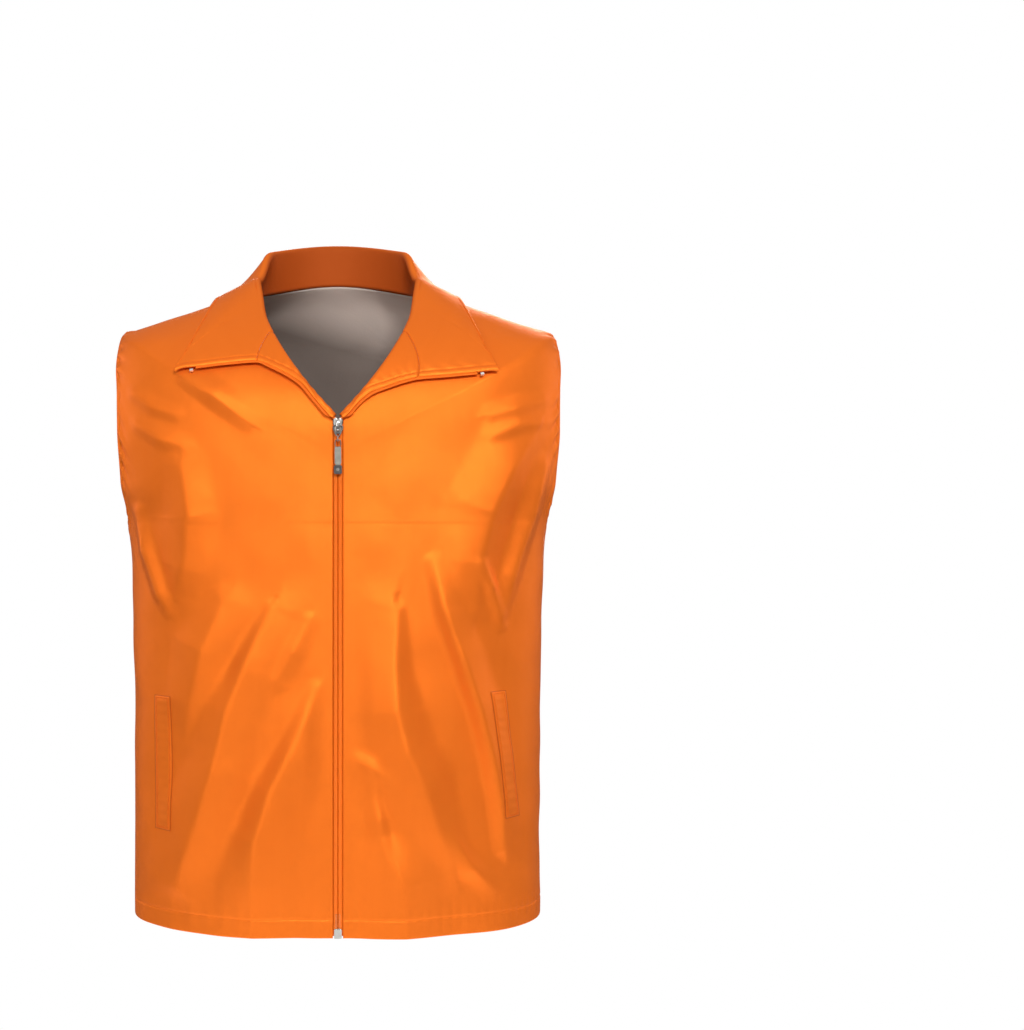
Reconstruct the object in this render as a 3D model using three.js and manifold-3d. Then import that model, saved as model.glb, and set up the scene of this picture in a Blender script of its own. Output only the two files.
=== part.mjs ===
// A sleeveless zip-front vest in blaze orange taffeta, lined, with a turn-down collar.
// Millimetres, +Z up, the front faces -Y, +X is the wearer's left. The origin is the centre of the
// neck opening, level with the high points of the shoulders, where the wearer carries the vest.
import * as THREE from 'three';
import { mergeVertices } from 'three/addons/utils/BufferGeometryUtils.js';
import loadManifold from 'manifold-3d';

const { Manifold, Mesh: ManifoldMesh } = await loadManifold().then((library) => {
  library.setup();
  return library;
});

// ---- driving dimensions -------------------------------------------------------------------------

const HEM_Z = -650;
const UNDERARM_Z = -248;
const SHOULDER_TIP_Z = -51;
const NECK_SIDE_Z = -4;
const NECK_BACK_Z = 14;
const V_POINT_Z = -153;
const HEM_HALF_WIDTH = 210;
const SHOULDER_TIP_X = 222.6;
const NECK_HALF_WIDTH = 88;
const FRONT_DEPTH = 130;
const HEM_BACK_DEPTH = 112;
const NECK_BACK_DEPTH = 75;

// How far up the cloth each level is, as a share of the way from the hem to the neck seam.
const UNDERARM = 0.54;
const SHOULDER_TIP = 0.81;

// Layers of the body, as depths below its outer face.
const SHELL_LAYER = { outer: 0, inner: -1 };
const MIDDLE_LAYER = { outer: -2.4, inner: -3 };
const LINING_LAYER = { outer: -4.2, inner: -4.9 };
const BINDING_LAYER = { outer: -4.6, inner: -5.2 };
const WELT_LAYER = { outer: 1.6, inner: 0.5 };
const GAP = 0.3;

const FRONT_EDGE_X = 4.9;
const FACING_WIDTH = 60;
const ARMHOLE_SWEEP = THREE.MathUtils.degToRad(22);
const BINDING_WIDTH_SWEEP = THREE.MathUtils.degToRad(3.2);
const BINDING_WIDTH_RISE = 0.012;

const COLLAR_STAND = 40;
const ROLL_HEIGHT = 5.5;
const ROLL_RADIUS = 3.25;
const LEAF_LIFT = 4.5;
const STAND_SET_BACK = 2;
const COLLAR_RING = 0.945;
const STAND_FOOT = 1.1;
const LEAST_STAND = 1.6;
const TOP_COLLAR_LAYER = { outer: 1.65, inner: 0.65 };
const COLLAR_CORE_LAYER = { outer: 0.35, inner: -0.35 };
const UNDER_COLLAR_LAYER = { outer: -0.65, inner: -1.65 };

const SLIDER_TOP_Z = -145;
const SLIDER_LENGTH = 16;
const SLIDER_WIDTH = 9;
const COIL_INNER_X = 0.75;
const COIL_OUTER_X = 2.9;
const COIL_FRONT = 0.8;
const COIL_BACK = -1;
const COIL_BOTTOM_Z = -626;
const TAPE_OUTER_X = 16;
const TAPE_FRONT = -1.75;
const TAPE_BACK = -2.35;
const BOX_HEIGHT = 9;

const PULLER_Y = -134.4;
const LINK_PIVOT_Z = -153;
const TAB_PIVOT_Z = -167;

// ---- colours ------------------------------------------------------------------------------------

const finish = (color, roughness, metalness) => (
  new THREE.MeshStandardMaterial({ color, roughness, metalness }));
const ORANGE_CLOTH = finish(0xff8226, 0.5, 0);
const ORANGE_TAPE = finish(0xf0741e, 0.7, 0);
const ORANGE_COIL = finish(0xf07a20, 0.4, 0);
const GREY_LINING = finish(0xb4a79a, 0.45, 0);
const WHITE_CORE = finish(0xe8e4dc, 0.9, 0);
const NICKEL = finish(0xc8c8c6, 0.25, 1);
const DARK_NICKEL = finish(0x3c3a3a, 0.25, 1);
const GREY_METAL = finish(0x8f8e8a, 0.45, 1);

// ---- small mathematics --------------------------------------------------------------------------

const RIGHT_ANGLE = Math.PI / 2;
const lerp = THREE.MathUtils.lerp;
const smoothstep = THREE.MathUtils.smoothstep;
const point = (x, y, z) => new THREE.Vector3(x, y, z);
const range = (count) => Array.from({ length: count + 1 }, (_, i) => i / count);

// A smooth curve through the keys that never overshoots them (monotone cubic).
function smoothThrough(keys, values) {
  const steps = keys.slice(1).map((key, i) => key - keys[i]);
  const slopes = steps.map((step, i) => (values[i + 1] - values[i]) / step);
  const tangents = keys.map((_, i) => {
    if (i === 0) return slopes[0];
    if (i === keys.length - 1) return slopes[i - 1];
    const product = slopes[i - 1] * slopes[i];
    return product <= 0 ? 0 : (2 * product) / (slopes[i - 1] + slopes[i]);
  });
  return (at) => {
    const clamped = Math.min(Math.max(at, keys[0]), keys[keys.length - 1]);
    const i = Math.min(Math.max(keys.findIndex((key) => key > clamped) - 1, 0), steps.length - 1);
    const k = clamped >= keys[keys.length - 1] ? steps.length - 1 : i;
    const t = (clamped - keys[k]) / steps[k];
    const a = values[k] * (1 + 2 * t) * (1 - t) ** 2;
    const b = values[k + 1] * t * t * (3 - 2 * t);
    const c = tangents[k] * steps[k] * t * (1 - t) ** 2;
    const d = tangents[k + 1] * steps[k] * t * t * (t - 1);
    return a + b + c + d;
  };
}

// ---- the torso surface --------------------------------------------------------------------------
// torso(around, up) is the outer face of the body cloth. around is 0 at the centre front, a right
// angle at the wearer's left side and a straight angle at the centre back; up is 0 at the hem and
// 1 at the neck seam. Each level is a superellipse, lower at the front than at the sides above the
// underarm, so the last level is the neck seam with its V.

const LEVELS = [0, 0.27, 0.45, UNDERARM, 0.6, 0.675, 0.75, 0.79, SHOULDER_TIP, 0.83, 0.9, 1];
const halfWidth = smoothThrough(LEVELS, [
  HEM_HALF_WIDTH, HEM_HALF_WIDTH, 212, 217, 231, 238.5,
  236, 229.5, SHOULDER_TIP_X, 209, 158.5, NECK_HALF_WIDTH,
]);
const sideZ = smoothThrough(LEVELS, [
  HEM_Z, -449, -315, UNDERARM_Z, -204, -148, -93, -63, SHOULDER_TIP_Z, -46, -28.5, NECK_SIDE_Z,
]);
const frontZ = smoothThrough(LEVELS, [
  HEM_Z, -449, -315, UNDERARM_Z, -227, -207, -190, -182, -178, -175, -166, V_POINT_Z,
]);
const backZ = smoothThrough(LEVELS, [
  HEM_Z, -449, -315, UNDERARM_Z, -203, -151, -102, -75, -62, -49, -11, NECK_BACK_Z,
]);
const backDepth = smoothThrough(LEVELS, [
  HEM_BACK_DEPTH, 110, 113, 116, 118, 118.5, 116, 113.5, 112, 110, 98, NECK_BACK_DEPTH,
]);
const squareness = smoothThrough([0, UNDERARM, SHOULDER_TIP, 1], [2.5, 2.5, 2.4, 2]);
const dipPower = smoothThrough([0, UNDERARM, 1], [1, 1, 0.61]);

const signedPower = (value, power) => Math.sign(value) * Math.abs(value) ** power;

function torsoFace(around, up) {
  const power = 2 / squareness(up);
  const across = signedPower(Math.sin(around), power);
  const forward = signedPower(Math.cos(around), power);
  const x = halfWidth(up) * across;
  if (forward >= 0) {
    const dip = Math.max(1 - Math.abs(across), 0) ** dipPower(up);
    return point(x, -FRONT_DEPTH * forward, lerp(sideZ(up), frontZ(up), dip));
  }
  return point(x, -backDepth(up) * forward, lerp(sideZ(up), backZ(up), 1 - across * across));
}

const ANGLE_STEP = 0.004;
const LEVEL_STEP = 0.002;

function torsoNormal(around, up) {
  const low = Math.max(up - LEVEL_STEP, 0);
  const high = Math.min(up + LEVEL_STEP, 1);
  const along = torsoFace(around + ANGLE_STEP, up).sub(torsoFace(around - ANGLE_STEP, up));
  const rising = torsoFace(around, high).sub(torsoFace(around, low));
  return along.cross(rising).normalize();
}

const torso = (around, up, lift = 0) => torsoFace(around, up).addScaledVector(torsoNormal(around, up), lift);
const aroundAtX = (x, up) => Math.asin((x / halfWidth(up)) ** (squareness(up) / 2));
const aroundAtSide = (gap, up) => RIGHT_ANGLE - Math.asin((gap / FRONT_DEPTH) ** (squareness(up) / 2));
const upAtZ = (z) => {
  let [low, high] = [0, UNDERARM];
  for (let i = 0; i < 40; i += 1) {
    const middle = (low + high) / 2;
    if (sideZ(middle) < z) low = middle;
    else high = middle;
  }
  return (low + high) / 2;
};

// The place on the front of the torso that shows at x, z from straight in front.
function locateOnFront(x, z) {
  let best = { around: RIGHT_ANGLE / 2, up: 0.8 };
  let reach = { around: RIGHT_ANGLE / 2, up: 0.2 };
  for (let round = 0; round < 14; round += 1) {
    const centre = { ...best };
    let nearest = Infinity;
    for (const a of range(10)) {
      for (const b of range(10)) {
        const around = Math.min(Math.max(centre.around + (2 * a - 1) * reach.around, 0), RIGHT_ANGLE);
        const up = Math.min(centre.up + (2 * b - 1) * reach.up, 1);
        const face = torsoFace(around, up);
        const miss = Math.hypot(face.x - x, face.z - z);
        if (miss < nearest) {
          nearest = miss;
          best = { around, up };
        }
      }
    }
    reach = { around: reach.around / 2, up: reach.up / 2 };
  }
  return best;
}

// ---- solids -------------------------------------------------------------------------------------

// A closed solid between two grids of points: outer[row][column] and inner[row][column].
function slab(outer, inner, loop = false) {
  const rows = outer.length;
  const columns = outer[0].length;
  const vertices = [...outer.flat(), ...inner.flat()].flatMap((p) => [p.x, p.y, p.z]);
  const top = (i, j) => (i % rows) * columns + j;
  const bottom = (i, j) => rows * columns + top(i, j);
  const faces = [];
  const quad = (a, b, c, d) => faces.push(a, b, c, a, c, d);
  const lastRow = loop ? rows : rows - 1;
  for (let i = 0; i < lastRow; i += 1) {
    for (let j = 0; j < columns - 1; j += 1) {
      quad(top(i, j), top(i, j + 1), top(i + 1, j + 1), top(i + 1, j));
      quad(bottom(i, j), bottom(i + 1, j), bottom(i + 1, j + 1), bottom(i, j + 1));
    }
    quad(top(i, 0), top(i + 1, 0), bottom(i + 1, 0), bottom(i, 0));
    const edge = columns - 1;
    quad(top(i, edge), bottom(i, edge), bottom(i + 1, edge), top(i + 1, edge));
  }
  if (!loop) {
    for (let j = 0; j < columns - 1; j += 1) {
      quad(top(0, j), bottom(0, j), bottom(0, j + 1), top(0, j + 1));
      quad(top(rows - 1, j), top(rows - 1, j + 1), bottom(rows - 1, j + 1), bottom(rows - 1, j));
    }
  }
  return facingOut(vertices, faces);
}

function facingOut(vertices, faces) {
  let volume = 0;
  const at = (i) => point(vertices[3 * i], vertices[3 * i + 1], vertices[3 * i + 2]);
  for (let i = 0; i < faces.length; i += 3) {
    volume += at(faces[i]).dot(at(faces[i + 1]).cross(at(faces[i + 2])));
  }
  const index = volume > 0 ? faces : faces.slice().reverse();
  const geometry = new THREE.BufferGeometry();
  geometry.setAttribute('position', new THREE.Float32BufferAttribute(vertices, 3));
  geometry.setIndex(index);
  geometry.computeVertexNormals();
  return geometry;
}

// One layer of cloth: at(row, column, lift) is the surface.
function layer(rows, columns, at, { outer, inner }, loop = false) {
  const grid = (lift) => rows.map((row) => columns.map((column) => at(row, column, lift)));
  return slab(grid(outer), grid(inner), loop);
}

function toManifold(geometry) {
  const bare = geometry.clone();
  const extras = Object.keys(bare.attributes).filter((name) => name !== 'position');
  extras.forEach((name) => bare.deleteAttribute(name));
  const merged = mergeVertices(bare, 1e-4);
  return new Manifold(new ManifoldMesh({
    numProp: 3,
    vertProperties: new Float32Array(merged.attributes.position.array),
    triVerts: new Uint32Array(merged.index.array),
  }));
}

function fromManifold(solid) {
  const mesh = solid.getMesh();
  const geometry = new THREE.BufferGeometry();
  geometry.setAttribute('position', new THREE.BufferAttribute(new Float32Array(mesh.vertProperties), 3));
  geometry.setIndex(new THREE.BufferAttribute(new Uint32Array(mesh.triVerts), 1));
  geometry.computeVertexNormals();
  return geometry;
}

const box = (x, y, z, width, depth, height) => new THREE.BoxGeometry(width, depth, height).translate(x, y, z);

// A flat plate with rounded corners that faces -Y, centred on x = 0.
function plate(width, bottomZ, topZ, corner, frontY, backY) {
  const half = width / 2;
  const outline = new THREE.Shape();
  outline.moveTo(-half + corner, bottomZ);
  outline.lineTo(half - corner, bottomZ);
  outline.absarc(half - corner, bottomZ + corner, corner, -RIGHT_ANGLE, 0, false);
  outline.lineTo(half, topZ - corner);
  outline.absarc(half - corner, topZ - corner, corner, 0, RIGHT_ANGLE, false);
  outline.lineTo(-half + corner, topZ);
  outline.absarc(-half + corner, topZ - corner, corner, RIGHT_ANGLE, 2 * RIGHT_ANGLE, false);
  outline.lineTo(-half, bottomZ + corner);
  outline.absarc(-half + corner, bottomZ + corner, corner, 2 * RIGHT_ANGLE, 3 * RIGHT_ANGLE, false);
  const thickness = backY - frontY;
  const settings = { depth: thickness, bevelEnabled: false, curveSegments: 4 };
  const geometry = new THREE.ExtrudeGeometry(outline, settings);
  return geometry.rotateX(RIGHT_ANGLE).translate(0, backY, 0);
}

// A closed loop of round wire through points in the plane y = PULLER_Y.
function wireLoop(corners, radius, steps) {
  const points = corners.map(([x, z]) => point(x, PULLER_Y, z));
  const path = new THREE.CatmullRomCurve3(points, true, 'catmullrom', 0.5);
  const section = new THREE.Shape().absarc(0, 0, radius, 0, 2 * Math.PI, false);
  const settings = { steps, extrudePath: path, bevelEnabled: false, curveSegments: 4 };
  return closeSeam(new THREE.ExtrudeGeometry(section, settings));
}

// An extruded closed path keeps both end caps where it meets itself; without them the loop closes.
function closeSeam(geometry) {
  const flat = geometry.index ? geometry.toNonIndexed() : geometry;
  const caps = flat.groups[0];
  const positions = Array.from(flat.attributes.position.array);
  positions.splice(3 * caps.start, 3 * caps.count);
  const open = new THREE.BufferGeometry();
  open.setAttribute('position', new THREE.Float32BufferAttribute(positions, 3));
  return mergeVertices(open, 0.01);
}

// ---- body cloth ---------------------------------------------------------------------------------

const LOWER_ROWS = range(5).map((t) => t * UNDERARM);
const ARMHOLE_ROWS = range(9).map((t) => lerp(UNDERARM, SHOULDER_TIP, (1 - Math.cos(Math.PI * t)) / 2));
const UPPER_ROWS = range(3).map((t) => lerp(SHOULDER_TIP, 1, t));
const BODY_ROWS = [...LOWER_ROWS, ...ARMHOLE_ROWS.slice(1), ...UPPER_ROWS.slice(1)];
const ARMHOLE_MIDDLE = (UNDERARM + SHOULDER_TIP) / 2;
const ARMHOLE_HALF_RISE = (SHOULDER_TIP - UNDERARM) / 2;
const LINING_SET_BACK = 1.3;
const SHELL_SIDE_GAP = 0.2;
const LINING_SIDE_GAP = 1.4;

const NECK_FACING_SHARE = 0.86;

// The facing narrows where it follows the neck seam up to the shoulder.
const toX = (up, fromX) => Math.min(FACING_WIDTH, NECK_FACING_SHARE * halfWidth(up)) - fromX;

// How far the armhole's edge stands from the side line; the lining stops at the binding's inner edge.
function armholeSweep(up, setBack) {
  const height = (up - ARMHOLE_MIDDLE) / (ARMHOLE_HALF_RISE + setBack * BINDING_WIDTH_RISE);
  const sweep = ARMHOLE_SWEEP + setBack * BINDING_WIDTH_SWEEP;
  return Math.abs(height) >= 1 ? 0 : sweep * Math.sqrt(1 - height * height);
}

function sideEdge(up, depths) {
  const lining = depths === LINING_LAYER;
  const seam = aroundAtSide(lining ? LINING_SIDE_GAP : SHELL_SIDE_GAP, up);
  return Math.min(seam, RIGHT_ANGLE - armholeSweep(up, lining ? LINING_SET_BACK : 0));
}

function frontCloth(side, fromX, toSide, columns, depths) {
  const at = (up, share, lift) => {
    const start = aroundAtX(fromX, up);
    const end = toSide ? sideEdge(up, depths) : aroundAtX(fromX + toX(up, fromX), up);
    const face = torso(lerp(start, end, share), up, lift);
    return point(side * face.x, face.y, face.z);
  };
  return layer(BODY_ROWS, range(columns), at, depths);
}

function liningCloth(side) {
  const at = (up, share, lift) => {
    const start = aroundAtX(toX(up, 0) + 2 * GAP, up);
    const face = torso(lerp(start, sideEdge(up, LINING_LAYER), share), up, lift);
    return point(side * face.x, face.y, face.z);
  };
  return layer(BODY_ROWS, range(6), at, LINING_LAYER);
}

function backCloth(depths) {
  const at = (up, share, lift) => {
    const edge = 2 * RIGHT_ANGLE - sideEdge(up, depths);
    return torso(lerp(edge, 4 * RIGHT_ANGLE - edge, share), up, lift);
  };
  return layer(BODY_ROWS, range(16), at, depths);
}

// A bias strip inside the armhole edge, a loop that crosses the side and shoulder seams.
function armholeBinding(side) {
  const turns = range(26).slice(0, -1).map((t) => t * 2 * Math.PI);
  const widths = [0, 1];
  const at = (turn, share, lift) => {
    const sweep = ARMHOLE_SWEEP + BINDING_WIDTH_SWEEP * share;
    const rise = ARMHOLE_HALF_RISE + BINDING_WIDTH_RISE * share;
    const face = torso(RIGHT_ANGLE + sweep * Math.cos(turn), ARMHOLE_MIDDLE + rise * Math.sin(turn), lift);
    return point(side * face.x, face.y, face.z);
  };
  return layer(turns, widths, at, BINDING_LAYER, true);
}

// ---- pockets ------------------------------------------------------------------------------------

const POCKETS = {
  left: { side: 1, topX: 157, bottomX: 171, topZ: -413, bottomZ: -539 },
  right: { side: -1, topX: 174, bottomX: 172.5, topZ: -419, bottomZ: -552 },
};
const WELT_WIDTH = 19;
const BAG_WIDTH = 120;
const BAG_DROP = 34;

function pocketPatch({ side, topX, bottomX, topZ, bottomZ }, nearX, farX, extraDrop, columns, depths) {
  const at = (rise, share, lift) => {
    const up = upAtZ(lerp(bottomZ - extraDrop, topZ, rise));
    const x = lerp(bottomX, topX, rise) + lerp(nearX, farX, share);
    const face = torso(aroundAtX(x, up), up, lift);
    return point(side * face.x, face.y, face.z);
  };
  return layer(range(5), range(columns), at, depths);
}

const pocketWelt = (pocket) => pocketPatch(pocket, -WELT_WIDTH / 2, WELT_WIDTH / 2, 0, 3, WELT_LAYER);
const pocketBag = (pocket) => pocketPatch(pocket, -BAG_WIDTH, WELT_WIDTH / 2, BAG_DROP, 8, MIDDLE_LAYER);

// ---- collar -------------------------------------------------------------------------------------
// Each section of the collar rises from the neck seam as the stand, rolls over and falls as the leaf.
// angle is the way around the neck. At the front the roll crosses the seam and the top of the
// front turns back with the collar, as a lapel does.

const degrees = THREE.MathUtils.degToRad;
const GORGE = degrees(53);
const LEAF_TIP = degrees(72);
const SEAM_HALF_GAP = degrees(0.25);

// The leaf's edge as seen from the front: angle round the neck in degrees, x, z.
const LEAF_EDGES = {
  right: [
    [9, 15.5, -133], [20, 31, -117], [30, 47, -105.5], [40, 61.5, -98],
    [53, 80, -90.6], [60, 105, -92.5], [66, 135, -96.3], [72, 158.5, -100],
  ],
  left: [
    [9, 15.5, -134], [20, 31, -123], [30, 46, -117], [40, 60, -112],
    [53, 78, -107.5], [60, 104, -105], [66, 132, -102], [72, 156.5, -99.5],
  ],
};

function leafEdge(name) {
  const keys = LEAF_EDGES[name].map(([angle]) => degrees(angle));
  const places = LEAF_EDGES[name].map(([, x, z]) => locateOnFront(x, z));
  const ridge = torsoFace(RIGHT_ANGLE, COLLAR_RING);
  const [, tipX, tipZ] = LEAF_EDGES[name][LEAF_EDGES[name].length - 1];
  const around = smoothThrough(keys, places.map((place) => place.around));
  const up = smoothThrough(keys, places.map((place) => place.up));
  return (angle) => {
    if (angle <= LEAF_TIP) return { around: around(angle), up: up(angle) };
    if (angle >= RIGHT_ANGLE) return { around: angle, up: COLLAR_RING };
    const share = (angle - LEAF_TIP) / (RIGHT_ANGLE - LEAF_TIP);
    return locateOnFront(lerp(tipX, ridge.x, share), lerp(tipZ, ridge.z, share));
  };
}

const leafEdgeOf = { left: leafEdge('left'), right: leafEdge('right') };

function standHeight(angle) {
  const overShoulder = smoothstep(angle, degrees(60), RIGHT_ANGLE);
  const roundBack = smoothstep(angle, RIGHT_ANGLE, degrees(128));
  return ROLL_HEIGHT + 7 * overShoulder + (COLLAR_STAND - ROLL_HEIGHT - 7) * roundBack;
}

function standDirection(angle) {
  const rising = torsoFace(angle, 1).sub(torsoFace(angle, 1 - 0.01)).normalize();
  const overShoulder = smoothstep(angle, degrees(60), RIGHT_ANGLE);
  const roundBack = smoothstep(angle, RIGHT_ANGLE, degrees(130));
  const upright = 0.6 * overShoulder + 0.4 * roundBack;
  return rising.lerp(point(0, 0, 1), upright).normalize();
}

// The middle of the collar's thickness, as points from the neck seam to the leaf's edge.
function collarSection(angle, edgeOf, leafSteps) {
  const seam = torsoFace(angle, 1);
  const climb = standDirection(angle);
  const outward = torsoNormal(angle, 1);
  outward.addScaledVector(climb, -outward.dot(climb)).normalize();
  const place = (out, rise) => seam.clone().addScaledVector(outward, out).addScaledVector(climb, rise);
  const height = standHeight(angle);
  const straight = Math.max(height - ROLL_RADIUS, LEAST_STAND);
  const points = [STAND_FOOT, (STAND_FOOT + straight) / 2].map((rise) => place(-STAND_SET_BACK, rise));
  for (const turn of range(4)) {
    const out = -STAND_SET_BACK + ROLL_RADIUS * (1 - Math.cos(Math.PI * turn));
    points.push(place(out, straight + ROLL_RADIUS * Math.sin(Math.PI * turn)));
  }
  const edge = edgeOf(angle);
  for (const share of range(leafSteps).slice(1)) {
    const drape = torso(lerp(angle, edge.around, share), lerp(1, edge.up, share), LEAF_LIFT);
    points.push(drape.addScaledVector(climb, straight * (1 - share)));
  }
  return points;
}

const mirrored = (p) => point(-p.x, p.y, p.z);
const HALF_ANGLES = [53, 58, 65, 72, 78, 84, 90, 97, 105, 115, 130, 146, 163, 180].map(degrees);
const LAPEL_ANGLES = [9, 14, 21, 29, 37, 45, 53].map(degrees);
const LEAF_STEPS = 3;

function collarGrid(angles, name) {
  const sections = angles.map((angle) => collarSection(angle, leafEdgeOf[name], LEAF_STEPS));
  return name === 'right' ? sections.map((section) => section.map(mirrored)) : sections;
}

// Every point of the grid with the direction across the cloth there.
function withNormals(grid) {
  const clampRow = (i) => Math.min(Math.max(i, 0), grid.length - 1);
  const clampColumn = (j) => Math.min(Math.max(j, 0), grid[0].length - 1);
  return grid.map((row, i) => row.map((p, j) => {
    const along = grid[clampRow(i + 1)][j].clone().sub(grid[clampRow(i - 1)][j]);
    const down = row[clampColumn(j + 1)].clone().sub(row[clampColumn(j - 1)]);
    return { p, normal: down.cross(along).normalize() };
  }));
}

function clothOver(cells, { outer, inner }) {
  const lifted = (lift) => ({ p, normal }) => p.clone().addScaledVector(normal, lift);
  const grid = (lift) => cells.map((row) => row.map(lifted(lift)));
  return slab(grid(outer), grid(inner));
}

function collarCells() {
  const start = [GORGE + SEAM_HALF_GAP, ...HALF_ANGLES.slice(1)];
  const left = collarGrid(start, 'left');
  const right = collarGrid(start, 'right').slice(0, -1).reverse();
  return withNormals([...left, ...right]);
}

function lapelCells(name) {
  const angles = [...LAPEL_ANGLES.slice(0, -1), GORGE - SEAM_HALF_GAP];
  const grid = collarGrid(angles, name);
  return withNormals(name === 'right' ? grid.reverse() : grid);
}

// ---- zip ----------------------------------------------------------------------------------------

// The way of the coil from the slider round the lapel's edge to the collar's tip, beyond the cloth.
function lapelEdgePath(name, offset, lastAngle) {
  const angles = [11, 16, 23, 32, 42, 53, 60, lastAngle].map(degrees);
  return angles.map((angle) => {
    const here = collarSection(angle, leafEdgeOf[name], LEAF_STEPS).pop();
    const ahead = collarSection(angle + 0.01, leafEdgeOf[name], LEAF_STEPS).pop();
    const along = ahead.sub(here).normalize();
    const edge = leafEdgeOf[name](angle);
    const face = torsoNormal(edge.around, edge.up);
    const out = along.clone().cross(face).normalize();
    const away = out.z > 0 ? out.negate() : out;
    return { at: here.addScaledVector(away, offset), away, face };
  });
}

// Sections of a ribbon: middle point, the half-width direction and the half-thickness direction.
function ribbon(sections) {
  const corner = ({ at, across, through }, a, b) => (
    at.clone().addScaledVector(across, a).addScaledVector(through, b));
  const outer = sections.map((section) => [corner(section, -1, 1), corner(section, 1, 1)]);
  const inner = sections.map((section) => [corner(section, -1, -1), corner(section, 1, -1)]);
  return slab(outer, inner);
}

const COIL_HALF_WIDTH = (COIL_OUTER_X - COIL_INNER_X) / 2;
const COIL_OFFSET = COIL_HALF_WIDTH + 5 * GAP;
const COIL_HALF_DEPTH = (COIL_FRONT - COIL_BACK) / 2;
const COIL_MIDDLE_X = (COIL_OUTER_X + COIL_INNER_X) / 2;
const COIL_MIDDLE_Y = -FRONT_DEPTH - (COIL_FRONT + COIL_BACK) / 2;

function flip(side, section) {
  const turn = (v) => point(side * v.x, v.y, v.z);
  return { at: turn(section.at), across: turn(section.across), through: turn(section.through) };
}

function coil(side, name) {
  const upright = { across: point(COIL_HALF_WIDTH, 0, 0), through: point(0, -COIL_HALF_DEPTH, 0) };
  const straight = [COIL_BOTTOM_Z, -500, -380, -260, SLIDER_TOP_Z + 0.6].map((z) => (
    { at: point(COIL_MIDDLE_X, COIL_MIDDLE_Y, z), ...upright }));
  const turning = [
    {
      at: point(3.2, -132.2, -141.8),
      across: point(0.9, 0, -0.5).setLength(COIL_HALF_WIDTH),
      through: point(0, -COIL_HALF_DEPTH, 0),
    },
    {
      at: point(8, -134.8, -140.2),
      across: point(0.5, 0, -1).setLength(COIL_HALF_WIDTH),
      through: point(0, -COIL_HALF_DEPTH, 0),
    },
  ];
  const alongLapel = lapelEdgePath(name, COIL_OFFSET, 67).map(({ at, away, face }) => ({
    at,
    across: away.clone().multiplyScalar(COIL_HALF_WIDTH),
    through: face.clone().multiplyScalar(COIL_HALF_DEPTH),
  }));
  return ribbon([...straight, ...turning, ...alongLapel].map((section) => flip(side, section)));
}

const TAPE_HALF_THICKNESS = (TAPE_FRONT - TAPE_BACK) / 2;
const TAPE_Y = -FRONT_DEPTH - (TAPE_FRONT + TAPE_BACK) / 2;

function tape(side) {
  const middle = (COIL_INNER_X + TAPE_OUTER_X) / 2;
  const half = (TAPE_OUTER_X - COIL_INNER_X) / 2;
  const through = point(0, -TAPE_HALF_THICKNESS, 0);
  const wide = [HEM_Z + 2, -500, -380, -260, -172].map((z) => (
    { at: point(middle, TAPE_Y, z), across: point(half, 0, 0), through }));
  const narrow = { at: point(COIL_MIDDLE_X, TAPE_Y, -147), across: point(COIL_HALF_WIDTH, 0, 0), through };
  return ribbon([...wide, narrow].map((section) => flip(side, section)));
}

const STOP = { length: 3.4, halfWidth: 1.15, halfDepth: 1.3 };

// A bent metal clip that ends the coil, just short of the collar's tip.
function topStop(side, name) {
  const path = lapelEdgePath(name, COIL_OFFSET + GAP, 67.6);
  const { at, away, face } = path[path.length - 1];
  const along = away.clone().cross(face).normalize();
  const ahead = along.x > 0 ? along : along.negate();
  const sections = [0, STOP.length].map((distance) => ({
    at: at.clone().addScaledVector(ahead, distance),
    across: away.clone().multiplyScalar(STOP.halfWidth),
    through: face.clone().multiplyScalar(STOP.halfDepth),
  }));
  return ribbon(sections.map((section) => flip(side, section)));
}

const PIN_TOP_Z = COIL_BOTTOM_Z - GAP;
const BOX_FLOOR = 1.2;
const BOX_WALL = 0.5;
const PIN_DEPTH = 1.4;
const BOX_CAVITY_WIDTH = 2 * COIL_OUTER_X + 2 * GAP;

const bottomPin = (side) => {
  const bottom = HEM_Z + BOX_FLOOR + GAP;
  const height = PIN_TOP_Z - bottom;
  const middleZ = bottom + height / 2;
  return box(side * COIL_MIDDLE_X, COIL_MIDDLE_Y, middleZ, 2 * COIL_HALF_WIDTH, PIN_DEPTH, height);
};

function retainerBox() {
  const width = BOX_CAVITY_WIDTH + 2 * BOX_WALL;
  const depth = PIN_DEPTH + 2 * GAP + 2 * BOX_WALL;
  const middleY = COIL_MIDDLE_Y;
  const shell = plate(width, HEM_Z, HEM_Z + BOX_HEIGHT, 1, middleY - depth / 2, middleY + depth / 2);
  const cavityZ = HEM_Z + BOX_FLOOR + BOX_HEIGHT / 2;
  const cavity = box(0, middleY, cavityZ, BOX_CAVITY_WIDTH, PIN_DEPTH + 2 * GAP, BOX_HEIGHT);
  return fromManifold(toManifold(shell).subtract(toManifold(cavity)));
}

// ---- slider and puller --------------------------------------------------------------------------

const SLIDER_BOTTOM_Z = SLIDER_TOP_Z - SLIDER_LENGTH;
const FRONT_PLATE = { frontY: -FRONT_DEPTH - 2.6, backY: -FRONT_DEPTH - 1.1 };
const BACK_PLATE = { frontY: -FRONT_DEPTH + 2.7, backY: -FRONT_DEPTH + 3.9 };
const FLANGE_INNER_X = 3.2;
const POST_WIDTH = 0.9;
const POST_LENGTH = 5;

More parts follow.
